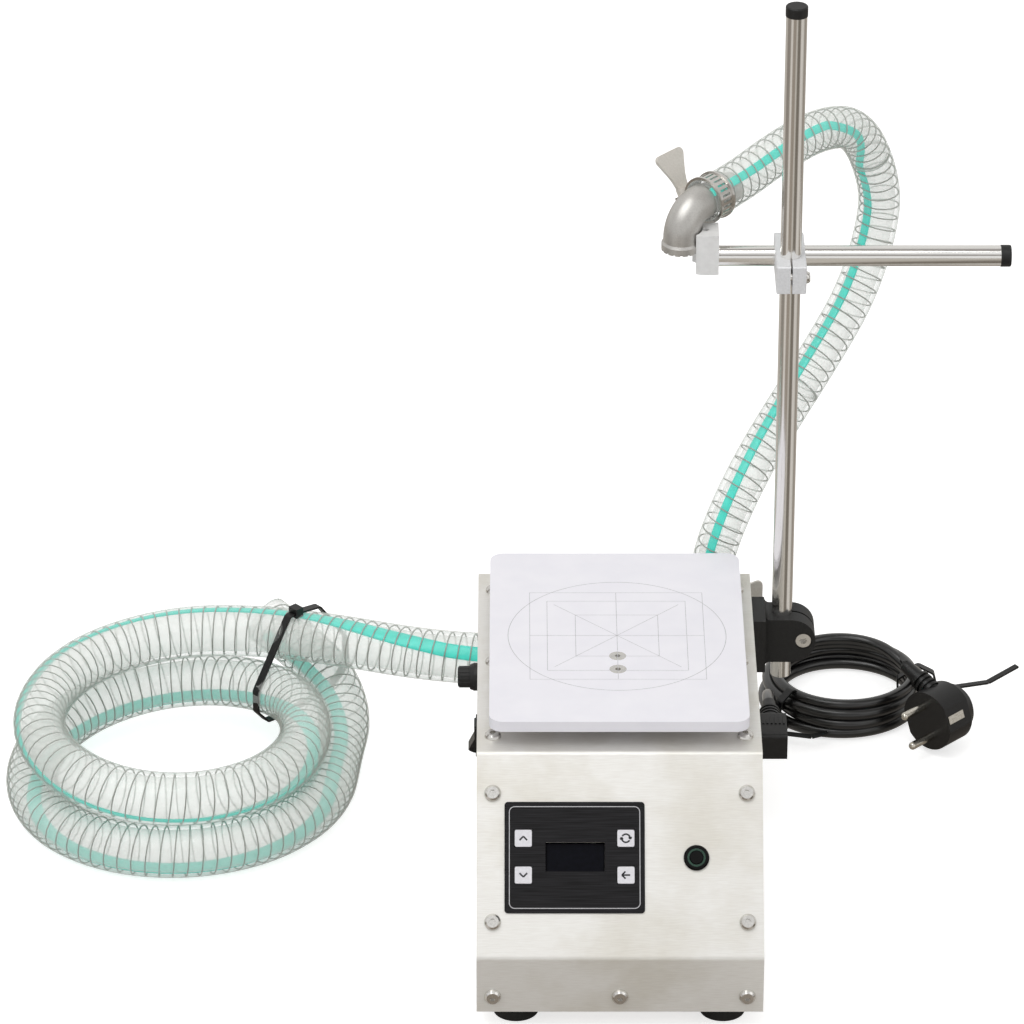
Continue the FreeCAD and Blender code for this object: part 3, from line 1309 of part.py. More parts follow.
def make_suction_hose(start):
    """The suction hose: its free run to the coil, and the coil's outer shape as one ring."""
    points = [start, start - vec(suction_lead, 0, 0)] + [vec(*point) for point in suction_route]
    run = cord_tube("suction_hose_run", points, suction_width)
    bore = rod(suction_bore / 2, start, start - vec(suction_barb_length + 1, 0, 0))
    add("suction_hose_run", run.cut(bore))
    radius = suction_width / 2
    lower = coil_radius + coil_spread
    upper = coil_radius - coil_spread
    section = [vec(lower, 0, radius), vec(upper, 0, 3 * radius)]
    lean = (section[1] - section[0]).normalize()
    side = vec(lean.z, 0, -lean.x)
    outer_low = section[0] + side * radius
    outer_high = section[1] + side * radius
    inner_high = section[1] - side * radius
    inner_low = section[0] - side * radius
    edges = [Part.LineSegment(outer_low, outer_high).toShape(),
             Part.Arc(outer_high, section[1] + lean * radius, inner_high).toShape(),
             Part.LineSegment(inner_high, inner_low).toShape(),
             Part.Arc(inner_low, section[0] - lean * radius, outer_low).toShape()]
    ring = Part.Face(Part.Wire(edges)).revolve(vec(0, 0, 0), Z_AXIS, 360)
    ring.translate(vec(coil_centre[0], coil_centre[1], table_gap - min(ring.BoundBox.ZMin, 0)))
    add("suction_hose_coil", ring)
    soft_nodes.extend(["suction_hose_run", "suction_hose_coil"])


def make_delivery_hose(start, end, away):
    """The delivery hose in three lengths that meet face to face, one for each joint it crosses."""
    points = [start, start + vec(0, 0, delivery_lead)] + [vec(*point) for point in delivery_route]
    points += [end + away * delivery_lead, end]
    breaks = []
    for index in delivery_breaks:
        breaks.append((points[index] + points[index + 1]) * 0.5)
    first, second = delivery_breaks
    lengths = {"delivery_hose_lower": points[:first + 1] + breaks[:1],
               "delivery_hose_middle": breaks[:1] + points[first + 1:second + 1] + breaks[1:],
               "delivery_hose_upper": breaks[1:] + points[second + 1:]}
    tubes = {name: cord_tube(name, route, delivery_width) for name, route in lengths.items()}
    lower_bore = rod(delivery_bore / 2, start, start + vec(0, 0, delivery_barb_length + 1))
    upper_bore = rod(delivery_bore / 2, end, end + away * (delivery_barb_length + 1))
    tubes["delivery_hose_lower"] = tubes["delivery_hose_lower"].cut(lower_bore)
    tubes["delivery_hose_upper"] = tubes["delivery_hose_upper"].cut(upper_bore)
    for name, tube in tubes.items():
        add(name, tube)
        soft_nodes.append(name)


def make_lead(relief_end):
    """The mains lead: from its connector into the bundle, and from the bundle to the plug."""
    out_points = [relief_end] + [vec(*point) for point in lead_out_route]
    back_points = [vec(*point) for point in lead_back_route]
    first = cord_tube("mains_lead out", out_points, cord_width)
    second = cord_tube("mains_lead back", back_points, cord_width)
    add("mains_lead", first, second)
    inner = lead_coil_radius - lead_coil_thickness / 2
    outer = lead_coil_radius + lead_coil_thickness / 2
    shoulder = lead_coil_height * 0.6
    ring = revolve_profile([(inner, table_gap), (outer, table_gap), (outer, shoulder),
                            (lead_coil_radius, lead_coil_height), (inner, shoulder)])
    ring.translate(vec(lead_coil_centre[0], lead_coil_centre[1], 0))
    add("mains_lead_coil", ring)
    soft_nodes.extend(["mains_lead", "mains_lead_coil"])
    return back_points[-1]


def make_plug(lead_end):
    """Angled earthed plug lying on its edge: stepped round body with flat flanks, two pins, two clips."""
    out = vec(*plug_pin_direction).normalize()
    side = vec(*plug_up).cross(out).normalize()
    up = out.cross(side)
    radius = plug_face_width / 2
    neck = radius - plug_step
    rear = -plug_depth - plug_rear_depth
    drum = revolve_profile([(0, 0), (radius, 0), (radius, -plug_depth), (neck, -plug_depth),
                            (neck - plug_step, rear + plug_step), (neck - 2 * plug_step, rear), (0, rear)])
    flat_width = plug_face_width - plug_flat
    body = seat(drum.common(block(flat_width, plug_face_width, rear, 0)), vec(*plug_place), side, up)
    neck_start = vec(*plug_place) - out * (plug_depth * 0.6) + up * (radius - relief_start_width / 2)
    relief = ribbed_relief(neck_start, lead_end)
    wide = 4 * plug_face_width
    floor = block(wide, wide, -plug_face_width, 0, plug_place[0], plug_place[1])
    pins = []
    for step in (-1, 1):
        at = step * plug_pin_spacing / 2
        straight = plug_pin_length - plug_pin_width / 2
        pin = disc(plug_pin_width / 2, -plug_pin_width, straight, 0, at)
        tip = Part.makeSphere(plug_pin_width / 2, vec(0, at, straight))
        pins.append(seat(pin.fuse(tip), vec(*plug_place), side, up))
        clip = block(clip_size[0], clip_size[1], clip_size[2] - plug_depth, -1, step * flat_width / 2, 0)
        pins.append(seat(clip, vec(*plug_place), side, up))
    add("plug_pins", *pins)
    add("mains_plug", body.fuse(relief).cut(floor).cut(nodes["plug_pins"]))
    soft_nodes.extend(["mains_plug", "plug_pins"])


def tie_loop(outline, place, direction):
    """A strap bent round a bundle in an upright plane, clockwise from its head and back into it."""
    points = [vec(0, along, height) for along, height in outline]
    strap = bent_section(points, tie_bend, tie_thickness).extrude(vec(tie_width, 0, 0))
    strap.translate(vec(-tie_width / 2, 0, 0))
    along, height = outline[0]
    head = Part.makeBox(*tie_head, vec(-tie_head[0] / 2, along - tie_head[1] / 2, height - tie_head[2] / 2))
    way = vec(*direction).normalize()
    return seat(strap.fuse(head), vec(*place), way.cross(Z_AXIS), way)


def tie_tail(points):
    """The free end of a strap: flat runs between points."""
    runs = []
    for start, end in zip(points, points[1:]):
        way = vec(*end) - vec(*start)
        across = Z_AXIS.cross(way).normalize()
        run = block(tie_width * 0.75, tie_thickness, 0, way.Length)
        runs.append(seat(run, vec(*start), across, way.cross(across).normalize()))
    return runs


def make_ties():
    """Nylon ties round the hose's turns and round the lead's bundle, two of them with long tails."""
    hose_tie = tie_loop(hose_tie_outline, hose_tie_place, hose_tie_direction)
    rear_tie = tie_loop(lead_tie_outline, rear_tie_place, rear_tie_direction)
    front_tie = tie_loop(lead_tie_outline, front_tie_place, front_tie_direction)
    add("cable_ties", hose_tie, fuse_all([rear_tie] + tie_tail(rear_tail)),
        fuse_all([front_tie] + tie_tail(front_tail)))
    soft_nodes.append("cable_ties")


def build():
    make_cover()
    make_chassis()
    make_rear_panel()
    make_case_screws()
    make_feet()
    make_label()
    make_keys()
    make_control_board()
    make_button()
    make_rocker()
    make_fuse_holder()
    make_inlet()
    make_weighing()
    make_countersunk_screws()
    make_inner_screws()
    make_supply()
    make_motor()
    make_gears()
    make_pump()
    suction_start, delivery_start = make_pump_fittings()
    make_bracket()
    make_stand()
    nozzle_end, away = make_nozzle()
    clamps = {}
    clamps["suction_clamp"] = make_clamp("suction_clamp", suction_width / 2,
                                         suction_start - vec(suction_clamp_offset, 0, 0), X_AXIS, Y_AXIS)
    clamps["delivery_clamp"] = make_clamp("delivery_clamp", delivery_width / 2,
                                          delivery_start + vec(0, 0, delivery_clamp_offset), -Z_AXIS, Y_AXIS)
    lean = math.radians(nozzle_clamp_lean)
    outward = vec(-away.y, away.x, 0) * math.cos(lean) - Z_AXIS * math.sin(lean)
    clamps["nozzle_clamp"] = make_clamp("nozzle_clamp", delivery_width / 2,
                                        nozzle_end + away * nozzle_clamp_offset, away, outward)
    make_suction_hose(suction_start)
    make_delivery_hose(delivery_start, nozzle_end, away)
    make_plug(make_lead(make_connector()))
    make_ties()
    return clamps


def origin_shift():
    """Move the model so that its origin is under the middle of its rigid pieces."""
    box = FreeCAD.BoundBox()
    for name, shape in nodes.items():
        if name not in soft_nodes:
            box.add(shape.optimalBoundingBox(True, False))
    return vec(-box.Center.x, -box.Center.y, 0)


def write_parts(shift):
    os.makedirs("parts", exist_ok=True)
    for name, shape in nodes.items():
        moved = shape.copy()
        moved.translate(shift)
        moved.exportStep("parts/" + name + ".step")
        if not moved.isValid():
            print("not valid:", name)


clamp_axes = build()
shift = origin_shift()
write_parts(shift)
print("nodes", len(nodes), "origin shift", [round(value, 2) for value in shift])
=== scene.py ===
import math
import bpy
from mathutils import Matrix, Vector


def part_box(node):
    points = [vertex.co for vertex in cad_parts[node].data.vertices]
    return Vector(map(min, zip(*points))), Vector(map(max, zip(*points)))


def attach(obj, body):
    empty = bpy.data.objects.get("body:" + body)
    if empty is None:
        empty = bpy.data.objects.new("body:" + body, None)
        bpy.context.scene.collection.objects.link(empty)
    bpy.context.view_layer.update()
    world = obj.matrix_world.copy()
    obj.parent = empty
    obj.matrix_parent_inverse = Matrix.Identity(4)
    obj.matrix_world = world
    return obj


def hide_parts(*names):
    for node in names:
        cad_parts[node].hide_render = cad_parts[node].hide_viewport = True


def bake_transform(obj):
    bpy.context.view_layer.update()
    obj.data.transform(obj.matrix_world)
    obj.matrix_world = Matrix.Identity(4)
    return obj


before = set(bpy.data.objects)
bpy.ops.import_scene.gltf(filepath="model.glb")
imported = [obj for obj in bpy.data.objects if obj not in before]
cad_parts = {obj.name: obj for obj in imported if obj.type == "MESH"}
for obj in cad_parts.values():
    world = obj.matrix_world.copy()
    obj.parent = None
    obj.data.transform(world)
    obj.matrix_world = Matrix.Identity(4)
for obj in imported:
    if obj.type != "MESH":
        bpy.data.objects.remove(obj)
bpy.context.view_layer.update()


# The machine stands in the photograph as seen from the front, a little from above, through a long lens.
# Places are given from the cabinet: X from its middle to the right, Y back from its front, Z up.
cover_low, cover_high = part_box("cover")
cabinet_half_width = (cover_high.x - cover_low.x) / 2
cabinet_zero = Vector((cover_low.x + cabinet_half_width, cover_low.y, 0))


def at(x, y, z):
    """A place in millimetres from the cabinet's middle front, as metres in the shared frame."""
    return cabinet_zero + Vector((x, y, z)) / 1000


camera_tilt = 28.5
camera_data = bpy.data.cameras.new("camera")
camera_data.lens = 207.4
camera_data.sensor_width = 36.0
camera_data.clip_start = 0.1
camera_data.clip_end = 30.0
camera = bpy.data.objects.new("camera", camera_data)
bpy.context.scene.collection.objects.link(camera)
camera.location = at(-60.2, -2761, 1829)
camera.rotation_euler = (math.radians(90 - camera_tilt), 0, 0)
bpy.context.scene.camera = camera
bpy.context.scene.view_settings.view_transform = "Standard"


# The studio: a pale floor that runs out of sight, and a white sky. The camera sees both as white. Metal
# sees soft bands of light and shade in them: over the top in the sky, as from strip lamps and flags, and
# round the pole on the floor, as painted reflection. Each band is an angle in degrees and a colour.
sky_bands = (
    (0, "FFFFFF"), (20, "FFFFFF"), (27, "A09C98"), (36, "A09C98"), (44, "FFFFFF"), (70, "FFFFFF"),
    (80, "A8A5A2"), (104, "A8A5A2"), (114, "F4F3F1"), (180, "F4F3F1"),
)
painted_floor_reflection = (
    (-180, "9C9994"), (-112, "8C8781"), (-100, "68625C"), (-64, "6B6660"), (-54, "A09C97"), (-40, "A09C97"),
    (-32, "716A62"), (-6, "716A62"), (2, "938F89"), (10, "938F89"), (18, "59544D"), (44, "59544D"),
    (54, "A39F9B"), (84, "9C9994"), (96, "6F6962"), (118, "79736C"), (180, "9C9994"),
)


def linear(hex_colour):
    """An sRGB hex colour as the linear colour that the shaders work in."""
    channels = [int(hex_colour[i:i + 2], 16) / 255 for i in (0, 2, 4)]
    return [c / 12.92 if c <= 0.04045 else ((c + 0.055) / 1.055) ** 2.4 for c in channels] + [1.0]


def add_node(tree, kind, settings=None, inputs=None, links=None):
    """Adds a node. Inputs gives its sockets' values, and links joins sockets to other nodes' outputs."""
    made = tree.nodes.new(kind)
    for key, value in (settings or {}).items():
        setattr(made, key, value)
    for key, value in (inputs or {}).items():
        made.inputs[key].default_value = value
    for key, (other, output) in (links or {}).items():
        tree.links.new(other.outputs[output], made.inputs[key])
    return made


def new_material(name, **sockets):
    """A material with its shader's own sockets set, and the piece's own coordinates ready to use."""
    material = bpy.data.materials.new(name)
    material.use_nodes = True
    tree = material.node_tree
    shader = tree.nodes["Principled BSDF"]
    for key, value in sockets.items():
        shader.inputs[key.replace("_", " ")].default_value = value
    return material, tree, shader, add_node(tree, "ShaderNodeTexCoord")


def band_ramp(tree, bands, x_socket, y_socket):
    """Colours by the angle whose tangent is y over x, from links to two outputs."""
    angle = add_node(tree, "ShaderNodeMath", {"operation": "ARCTAN2"}, links={0: y_socket, 1: x_socket})
    first, last = bands[0][0], bands[-1][0]
    share = add_node(tree, "ShaderNodeMapRange", inputs={"From Min": math.radians(first),
                                                         "From Max": math.radians(last)},
                     links={"Value": (angle, "Value")})
    ramp = add_node(tree, "ShaderNodeValToRGB", links={"Fac": (share, "Result")})
    while len(ramp.color_ramp.elements) < len(bands):
        ramp.color_ramp.elements.new(1.0)
    for element, (degrees, colour) in zip(ramp.color_ramp.elements, bands):
        element.position = (degrees - first) / (last - first)
        element.color = linear(colour)
    return ramp


# The paper lies a fifth of a millimetre under the feet, so that no two faces share one plane. It is matt,
# and it glows to the camera, through the clear hoses and in shiny metal, but lights no dull surface. In
# shiny metal its colour is painted reflection: the bands of light and shade round the pole.
floor_size, floor_drop = 24.0, 0.0002
bpy.ops.object.select_all(action="DESELECT")
bpy.ops.mesh.primitive_plane_add(size=floor_size, location=(0, 0, 0))
floor = bpy.context.object
floor.name = "studio_floor"
floor.location.z = -floor_drop
bpy.ops.object.transform_apply(location=True, rotation=True, scale=True)
floor_material, tree, shader, coords = new_material("matt white paper", Roughness=0.9,
                                                    Specular_IOR_Level=0.1)
pole_low, pole_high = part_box("pole")
round_pole = add_node(tree, "ShaderNodeVectorMath", {"operation": "SUBTRACT"},
                      {1: (pole_low + pole_high) / 2}, {0: (coords, "Object")})
sides = add_node(tree, "ShaderNodeSeparateXYZ", links={"Vector": (round_pole, "Vector")})
toward = add_node(tree, "ShaderNodeMath", {"operation": "MULTIPLY"}, {1: -1.0}, {0: (sides, "Y")})
bands = band_ramp(tree, painted_floor_reflection, (toward, "Value"), (sides, "X"))
light_path = add_node(tree, "ShaderNodeLightPath")
# Painted reflection: glossy rays see the bands round the pole in place of the paper's grey.
paper = add_node(tree, "ShaderNodeMix", {"data_type": "RGBA"}, {6: linear("DEDEDE")},
                 {"Factor": (light_path, "Is Glossy Ray"), 7: (bands, "Color")})
tree.links.new(paper.outputs[2], shader.inputs["Base Color"])
tree.links.new(paper.outputs[2], shader.inputs["Emission Color"])
seen = add_node(tree, "ShaderNodeMath", {"operation": "MAXIMUM"},
                links={0: (light_path, "Is Camera Ray"), 1: (light_path, "Is Transmission Ray")})
shown = add_node(tree, "ShaderNodeMath", {"operation": "MAXIMUM"},
                 links={0: (seen, "Value"), 1: (light_path, "Is Glossy Ray")})
glow = add_node(tree, "ShaderNodeMath", {"operation": "MULTIPLY"}, {1: 0.9}, {0: (shown, "Value")})
tree.links.new(glow.outputs["Value"], shader.inputs["Emission Strength"])
floor.data.materials.append(floor_material)

world = bpy.data.worlds.new("white studio")
world.use_nodes = True
bpy.context.scene.world = world
world_tree = world.node_tree
background = world_tree.nodes["Background"]
sky_coords = add_node(world_tree, "ShaderNodeTexCoord")
sides = add_node(world_tree, "ShaderNodeSeparateXYZ", links={"Vector": (sky_coords, "Generated")})
toward = add_node(world_tree, "ShaderNodeMath", {"operation": "MULTIPLY"}, {1: -1.0}, {0: (sides, "Y")})
bands = band_ramp(world_tree, sky_bands, (toward, "Value"), (sides, "Z"))
light_path = add_node(world_tree, "ShaderNodeLightPath")
seen = add_node(world_tree, "ShaderNodeMath", {"operation": "MAXIMUM"},
                links={0: (light_path, "Is Camera Ray"), 1: (light_path, "Is Transmission Ray")})
sky = add_node(world_tree, "ShaderNodeMix", {"data_type": "RGBA"}, {7: linear("FFFFFF")},
               {"Factor": (seen, "Value"), 6: (bands, "Color")})
strength = add_node(world_tree, "ShaderNodeMapRange", inputs={"To Min": 0.85, "To Max": 1.0},
                    links={"Value": (seen, "Value")})
world_tree.links.new(sky.outputs[2], background.inputs["Color"])
world_tree.links.new(strength.outputs["Result"], background.inputs["Strength"])


def soft_lamp(name, place, aim, size, power):
    """A square area lamp aimed at a point."""
    lamp_data = bpy.data.lights.new(name, "AREA")
    lamp_data.shape = "SQUARE"
    lamp_data.size = size
    lamp_data.energy = power
    lamp = bpy.data.objects.new(name, lamp_data)
    bpy.context.scene.collection.objects.link(lamp)
    lamp.location = place
    lamp.rotation_euler = (Vector(aim) - Vector(place)).to_track_quat("-Z", "Y").to_euler()


soft_lamp("key_lamp", (-0.6, -0.4, 2.2), (0, 0, 0.15), 1.4, 17.5)
soft_lamp("fill_lamp", (1.4, -1.2, 1.2), (0, 0, 0.15), 1.2, 2.0)
soft_lamp("spot_lamp", (-0.5, -1.5, 1.9), (0, 0, 0.15), 0.12, 1.0)


# The cabinet is folded from 1.5 mm stainless sheet, brushed along its width, and left bare. It looks warm
# grey, with faint smudges from handling. Its case screws are bright stainless button heads.
def wear(tree, shader, coords, grain, colours, roughness, bump, detail=4):
    """Drives colour, roughness and a fine bump from one noise. Its grain is in millimetres: one size, or
    one for each axis where a surface was worked along one way. The bump is a strength and a height in
    millimetres."""
    sizes = grain if isinstance(grain, tuple) else (grain, grain, grain)
    mapping = add_node(tree, "ShaderNodeMapping", inputs={"Scale": [1000 / size for size in sizes]},
                       links={"Vector": (coords, "Object")})
    noise = add_node(tree, "ShaderNodeTexNoise", inputs={"Scale": 1.0, "Detail": detail},
                     links={"Vector": (mapping, "Vector")})
    ramp = add_node(tree, "ShaderNodeValToRGB", links={"Fac": (noise, "Fac")})
    ramp.color_ramp.elements[0].position = 0.3
    ramp.color_ramp.elements[1].position = 0.7
    ramp.color_ramp.elements[0].color = linear(colours[0])
    ramp.color_ramp.elements[1].color = linear(colours[1])
    rough = add_node(tree, "ShaderNodeMapRange", inputs={"To Min": roughness[0], "To Max": roughness[1]},
                     links={"Value": (noise, "Fac")})
    relief = add_node(tree, "ShaderNodeBump", inputs={"Strength": bump[0], "Distance": bump[1] / 1000},
                      links={"Height": (noise, "Fac")})
    tree.links.new(ramp.outputs["Color"], shader.inputs["Base Color"])
    tree.links.new(rough.outputs["Result"], shader.inputs["Roughness"])
    tree.links.new(relief.outputs["Normal"], shader.inputs["Normal"])
    return ramp


def dress(material, slot_name, *node_names):
    """Gives carried-over pieces their finish."""
    for node_name in node_names:
        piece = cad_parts[node_name]
        piece.data.materials.clear()
        piece.data.materials.append(material)


crease_angle = math.radians(35)


def soften(*node_names):
    """Smooth shading between faces that meet at less than the crease angle, sharp edges elsewhere."""
    for node_name in node_names:
        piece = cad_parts[node_name]
        bpy.ops.object.select_all(action="DESELECT")
        piece.select_set(True)
        bpy.context.view_layer.objects.active = piece
        bpy.ops.object.shade_smooth_by_angle(angle=crease_angle)


# Real brushing lines lie about a tenth of a millimetre apart. These are drawn at half a millimetre, so that
# they show. The smudges are some 45 mm across.
brush_run, brush_gap, smudge_size = 8.0, 0.5, 45.0
cabinet_finish, tree, shader, coords = new_material("brushed stainless sheet", Metallic=0.5)
ramp = wear(tree, shader, coords, (brush_run, brush_gap, brush_gap), ("ECEAE5", "F4F3EF"), (0.38, 0.46),
            (0.04, 0.02), detail=2)
smudges = add_node(tree, "ShaderNodeTexNoise", inputs={"Scale": 1000 / smudge_size, "Detail": 5},
                   links={"Vector": (coords, "Object")})
tint = add_node(tree, "ShaderNodeValToRGB", links={"Fac": (smudges, "Fac")})
tint.color_ramp.elements[0].position = 0.32
tint.color_ramp.elements[0].color = linear("F1EFEA")
tint.color_ramp.elements[1].position = 0.55
tint.color_ramp.elements[1].color = linear("FFFFFF")
mixed = add_node(tree, "ShaderNodeMix", {"data_type": "RGBA", "blend_type": "MULTIPLY"}, {"Factor": 1.0},
                 {6: (ramp, "Color"), 7: (tint, "Color")})
tree.links.new(mixed.outputs[2], shader.inputs["Base Color"])
dress(cabinet_finish, "brushed_cabinet", "cover", "chassis", "rear_panel")

# The screws are cold-headed and tumbled bright, so that each shows one sharp highlight.
screw_finish, tree, shader, coords = new_material("bright stainless", Metallic=1.0)
wear(tree, shader, coords, 1.1, ("D2D0CC", "E2E0DC"), (0.14, 0.22), (0.01, 0.01))
dress(screw_finish, "bright_screw", "case_screws", "countersunk_screws", "inner_screws", "socket_screws",
      "cross_clamp_screw", "holder_screw")
soften("cover", "case_screws", "countersunk_screws", "inner_screws", "socket_screws", "cross_clamp_screw",
       "holder_screw")


# The feet are four discs moulded in black rubber, each held up under the cabinet's floor by a screw. The
# rubber is matt, and a little dust greys it.
foot_finish, tree, shader, coords = new_material("moulded black rubber")
wear(tree, shader, coords, 2.0, ("0C0C0C", "1B1B1A"), (0.6, 0.8), (0.15, 0.05))
dress(foot_finish, "foot_rubber", "feet")
soften("feet")


# The control label is a black polyester overlay glued on the slope, with fine printed lines and a pale
# border line, over a window for the display. Its keys are white with dark arrow signs.
slope_low = at(0, 0, 47.5)
slope_rise, slope_run = 89.0, 75.0
slope_angle = math.atan2(slope_rise, slope_run)
slope_frame = Matrix.Translation(slope_low) @ Matrix.Rotation(slope_angle, 4, "X")

# The overlay is a satin film with lines printed along it, near black with a faint grain. Real lines would
# be a fifth of a millimetre apart. These are 0.6 mm, so that they show.
label_finish, tree, shader, coords = new_material("printed polyester overlay", Specular_IOR_Level=0.2)
turned = add_node(tree, "ShaderNodeMapping", inputs={"Rotation": (-slope_angle, 0, 0)},
                  links={"Vector": (coords, "Object")})
print_run, print_gap = 25.0, 0.6
across = add_node(tree, "ShaderNodeMapping", inputs={"Scale": (1000 / print_run, 1000 / print_gap, 0)},
                  links={"Vector": (turned, "Vector")})
lines = add_node(tree, "ShaderNodeTexNoise", inputs={"Scale": 1.0, "Detail": 2},
                 links={"Vector": (across, "Vector")})
ramp = add_node(tree, "ShaderNodeValToRGB", links={"Fac": (lines, "Fac")})
ramp.color_ramp.elements[0].position = 0.35
ramp.color_ramp.elements[0].color = linear("09080A")
ramp.color_ramp.elements[1].position = 0.68
ramp.color_ramp.elements[1].color = linear("232225")
tree.links.new(ramp.outputs["Color"], shader.inputs["Base Color"])
sheen = add_node(tree, "ShaderNodeMapRange", inputs={"To Min": 0.4, "To Max": 0.55},
                 links={"Value": (lines, "Fac")})
tree.links.new(sheen.outputs["Result"], shader.inputs["Roughness"])
dress(label_finish, "label_black", "label")

# The keys are moulded silicone, off-white, with a dull sheen.
key_finish, tree, shader, coords = new_material("white silicone")
wear(tree, shader, coords, 1.4, ("DDDCE1", "E8E7EC"), (0.4, 0.5), (0.03, 0.02))
dress(key_finish, "key_white", "key_up", "key_down", "key_cycle", "key_back")

# The board with its display lies behind the window and shows only as a very dark blue.
board_finish, tree, shader, coords = new_material("soldered circuit board", Specular_IOR_Level=0.08)
wear(tree, shader, coords, 2.5, ("05060D", "0B0C16"), (0.3, 0.4), (0.03, 0.02))
dress(board_finish, "board", "control_board")


def lay_on_slope(piece, x, y, z):
    """Moves a piece drawn flat at the origin onto the slope: x right and y up it, in millimetres."""
    piece.data.transform(slope_frame @ Matrix.Translation(Vector((x, y, z)) / 1000))


def flat_stroke(start, end, width, thickness=0.12):
    """A thin printed stroke between two points in millimetres, as a slab about z = 0."""
    start, end = Vector(start), Vector(end)
    bpy.ops.object.select_all(action="DESELECT")
    bpy.ops.mesh.primitive_cube_add(size=1, location=(0, 0, 0))
    slab = bpy.context.object
    run = end - start
    turn = Matrix.Rotation(math.atan2(run.y, run.x), 4, "Z")
    size = Matrix.Diagonal((run.length / 1000, width / 1000, thickness / 1000, 1))
    middle = ((start + end) / 2).to_3d() / 1000
    slab.data.transform(Matrix.Translation(middle) @ turn @ size)
    return slab


def arc_stroke(radius, first, last, width, thickness=0.12, steps=20):
    """A thin printed arc about the origin, spun from one short edge."""
    bpy.ops.object.select_all(action="DESELECT")
    bpy.ops.mesh.primitive_plane_add(size=1, location=(0, 0, 0))
    strip = bpy.context.object
    edge = Matrix.Rotation(math.pi / 2, 4, "X") @ Matrix.Diagonal((width / 1000, thickness / 1000, 1, 1))
    strip.data.transform(Matrix.Rotation(math.radians(first), 4, "Z")
                         @ Matrix.Translation((radius / 1000, 0, 0)) @ edge)
    bpy.ops.object.mode_set(mode="EDIT")
    bpy.ops.mesh.select_all(action="SELECT")
    bpy.ops.mesh.spin(steps=steps, angle=math.radians(first - last), center=(0, 0, 0), axis=(0, 0, 1))
    bpy.ops.mesh.select_all(action="SELECT")
    bpy.ops.mesh.remove_doubles(threshold=1e-6)
    bpy.ops.mesh.normals_make_consistent(inside=False)
    bpy.ops.object.mode_set(mode="OBJECT")
    return strip


def join(name, pieces):
    """Joins loose strokes into one piece."""
    bpy.ops.object.select_all(action="DESELECT")
    for piece in pieces:
        piece.select_set(True)
    bpy.context.view_layer.objects.active = pieces[0]
    bpy.ops.object.join()
    pieces[0].name = name
    return pieces[0]


# The printed marks are flat and dull, and a little uneven in tone.
print_finish, tree, shader, coords = new_material("pale screen print")
wear(tree, shader, coords, 1.1, ("B4B4B8", "CFCFD2"), (0.4, 0.55), (0.02, 0.01))
sign_finish, tree, shader, coords = new_material("dark screen print")
wear(tree, shader, coords, 1.1, ("1B1B20", "2A2A30"), (0.4, 0.55), (0.02, 0.01))

label_x, label_y = -25.3, 56.7
label_face = 0.8
border_half_x, border_half_y, border_corner, border_line = 36.4, 28.6, 3.0, 0.45
strokes = []
for side in (-1, 1):
    strokes.append(flat_stroke((-border_half_x + border_corner, side * border_half_y),
                               (border_half_x - border_corner, side * border_half_y), border_line))
    strokes.append(flat_stroke((side * border_half_x, -border_half_y + border_corner),
                               (side * border_half_x, border_half_y - border_corner), border_line))
for quarter, (side_x, side_y) in enumerate(((1, 1), (-1, 1), (-1, -1), (1, -1))):
    bend = arc_stroke(border_corner, 90 * quarter, 90 * quarter + 90, border_line, steps=6)
    bend.data.transform(Matrix.Translation((side_x * (border_half_x - border_corner) / 1000,
                                            side_y * (border_half_y - border_corner) / 1000, 0)))
    strokes.append(bend)
border = join("label_border", strokes)
lay_on_slope(border, label_x, label_y, label_face)
border.data.materials.append(print_finish)
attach(border, "cabinet")

sign_line = 0.9
key_places = {"key_up": (-53.9, 67.5), "key_down": (-53.9, 46.8),
              "key_cycle": (3.3, 67.5), "key_back": (3.3, 46.8)}
for key_name, (key_x, key_y) in key_places.items():
    if key_name in ("key_up", "key_down"):
        tip = 1.1 if key_name == "key_up" else -1.1
        strokes = [flat_stroke((-2.1, -tip), (0, tip), sign_line),
                   flat_stroke((2.1, -tip), (0, tip), sign_line)]
    elif key_name == "key_back":
        strokes = [flat_stroke((-2.2, 0), (2.3, 0), sign_line),
                   flat_stroke((-2.3, 0), (-0.3, 2.0), sign_line),
                   flat_stroke((-2.3, 0), (-0.3, -2.0), sign_line)]
    else:
        strokes = [arc_stroke(2.3, 20, 150, sign_line), arc_stroke(2.3, 200, 330, sign_line)]
        for turn in (1, -1):
            strokes.append(flat_stroke((turn * 1.5, turn * 0.4), (turn * 3.3, turn * 0.4), sign_line))
            strokes.append(flat_stroke((turn * 1.7, turn * 0.5), (turn * 2.4, -turn * 0.5), sign_line))
            strokes.append(flat_stroke((turn * 3.1, turn * 0.5), (turn * 2.4, -turn * 0.5), sign_line))
    sign = join(key_name + "_sign", strokes)
    lay_on_slope(sign, key_x, key_y, label_face + 0.02)
    sign.data.materials.append(sign_finish)
    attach(sign, key_name)


# The push-button is moulded in glossy black nylon and stands in a hole in the slope, with a lens ring of
# green polycarbonate round its cap. The gloss gives small sharp highlights, and the ring shows as a dull
# dark green.
gloss_finish, tree, shader, coords = new_material("glossy black nylon", Specular_IOR_Level=0.15)
wear(tree, shader, coords, 3.3, ("050505", "0E0E0E"), (0.12, 0.22), (0.02, 0.02))
dress(gloss_finish, "bezel_black", "button_body", "button_cap")
ring_finish, tree, shader, coords = new_material("green polycarbonate lens", Transmission_Weight=0.3,
                                                 IOR=1.58)
wear(tree, shader, coords, 3.3, ("06402C", "0A5238"), (0.2, 0.3), (0.02, 0.02))
dress(ring_finish, "ring_green", "button_ring")
soften("button_body", "button_cap", "button_ring")


